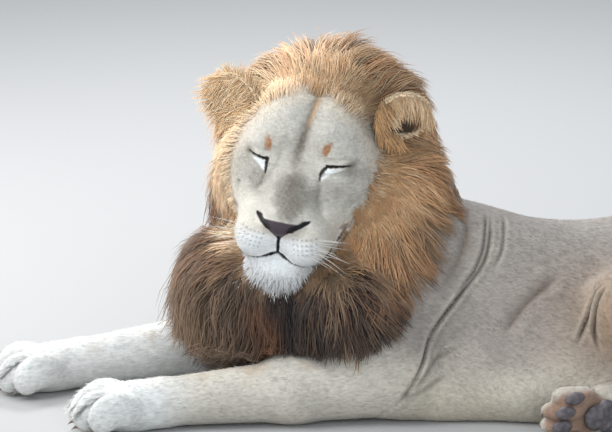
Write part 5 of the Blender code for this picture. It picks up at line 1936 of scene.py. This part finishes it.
foot_way = Vector(hind["right"]["toes"]) - Vector(hind["right"]["hock"])
foot_way = Vector((foot_way.x, foot_way.y, 0)).normalized()
foot_out = Vector((-foot_way.y, foot_way.x, 0))
toe_lobes = (((0.001, 0, 0), (0.0230, 0.0108, 0.0130)), ((0.012, 0, 0), (0.0120, 0.0092, 0.0100)))
heel_lobes = (
    ((0.006, 0, 0), (0.030, 0.0138, 0.026)), ((-0.016, -0.001, 0.017), (0.019, 0.0128, 0.015)),
    ((-0.020, -0.001, 0), (0.017, 0.0128, 0.013)), ((-0.016, -0.001, -0.017), (0.019, 0.0128, 0.015)),
)
cushion("leather_heel", "pad_heel", heel_lobes, foot_way, foot_out)
for k in range(1, 5):
    cushion("leather_toe_%d" % k, "pad_toe_%d" % k, toe_lobes, foot_way, foot_out)

for name, centre in zip(("left", "right"), eye_centres):
    eyeball("whole_eye_" + name, "eye_" + name, centre)


# ---------------------------------------------------------------- studio


def camera():
    azimuth, height = math.radians(VIEW_AZIMUTH), math.radians(VIEW_HEIGHT)
    level = math.cos(height)
    back = Vector((math.sin(azimuth) * level, -math.cos(azimuth) * level, math.sin(height)))
    place = VIEW_TARGET + back * VIEW_DISTANCE
    bpy.ops.object.camera_add(location=place, rotation=back.to_track_quat("Z", "Y").to_euler())
    obj = bpy.context.object
    obj.name = "camera"
    obj.data.lens = VIEW_LENS
    obj.data.sensor_width = SENSOR
    obj.data.clip_end = 60.0
    bpy.context.scene.camera = obj


def area_light(name, place, target, size, power, colour):
    way = Vector(place) - Vector(target)
    bpy.ops.object.light_add(type="AREA", location=place, rotation=way.to_track_quat("Z", "Y").to_euler())
    obj = bpy.context.object
    obj.name = name
    obj.data.shape = "DISK"
    obj.data.size = size
    obj.data.energy = power
    obj.data.color = colour


def studio():
    bpy.ops.mesh.primitive_plane_add(size=24.0, location=(0, 0, 0))
    floor = bpy.context.object
    floor.name = "floor"
    paper = bpy.data.materials.new("pale studio floor")
    paper.use_nodes = True
    shader = paper.node_tree.nodes["Principled BSDF"]
    shader.inputs["Base Color"].default_value = (0.47, 0.465, 0.46, 1)
    shader.inputs["Roughness"].default_value = 0.9
    floor.data.materials.append(paper)
    world = bpy.data.worlds.new("studio air")
    world.use_nodes = True
    world.node_tree.nodes["Background"].inputs["Color"].default_value = (0.82, 0.91, 1.0, 1)
    world.node_tree.nodes["Background"].inputs["Strength"].default_value = 0.56
    bpy.context.scene.world = world
    area_light("key", (0.4, -3.4, 3.6), (0, -0.3, 0.3), 2.8, 118, (0.98, 0.99, 1.0))
    area_light("fill", (4.2, -1.2, 1.8), (0, -0.3, 0.3), 3.4, 54, (0.90, 0.95, 1.0))
    area_light("left rim", (-1.9, -2.6, 1.7), (0, -0.5, 0.3), 1.2, 48, (1.0, 0.98, 0.96))
    area_light("top rim", (-2.6, 0.4, 3.0), (0, -0.3, 0.4), 1.2, 90, (0.98, 0.99, 1.0))
    bpy.context.scene.view_settings.view_transform = "Standard"


deselect()
camera()
studio()
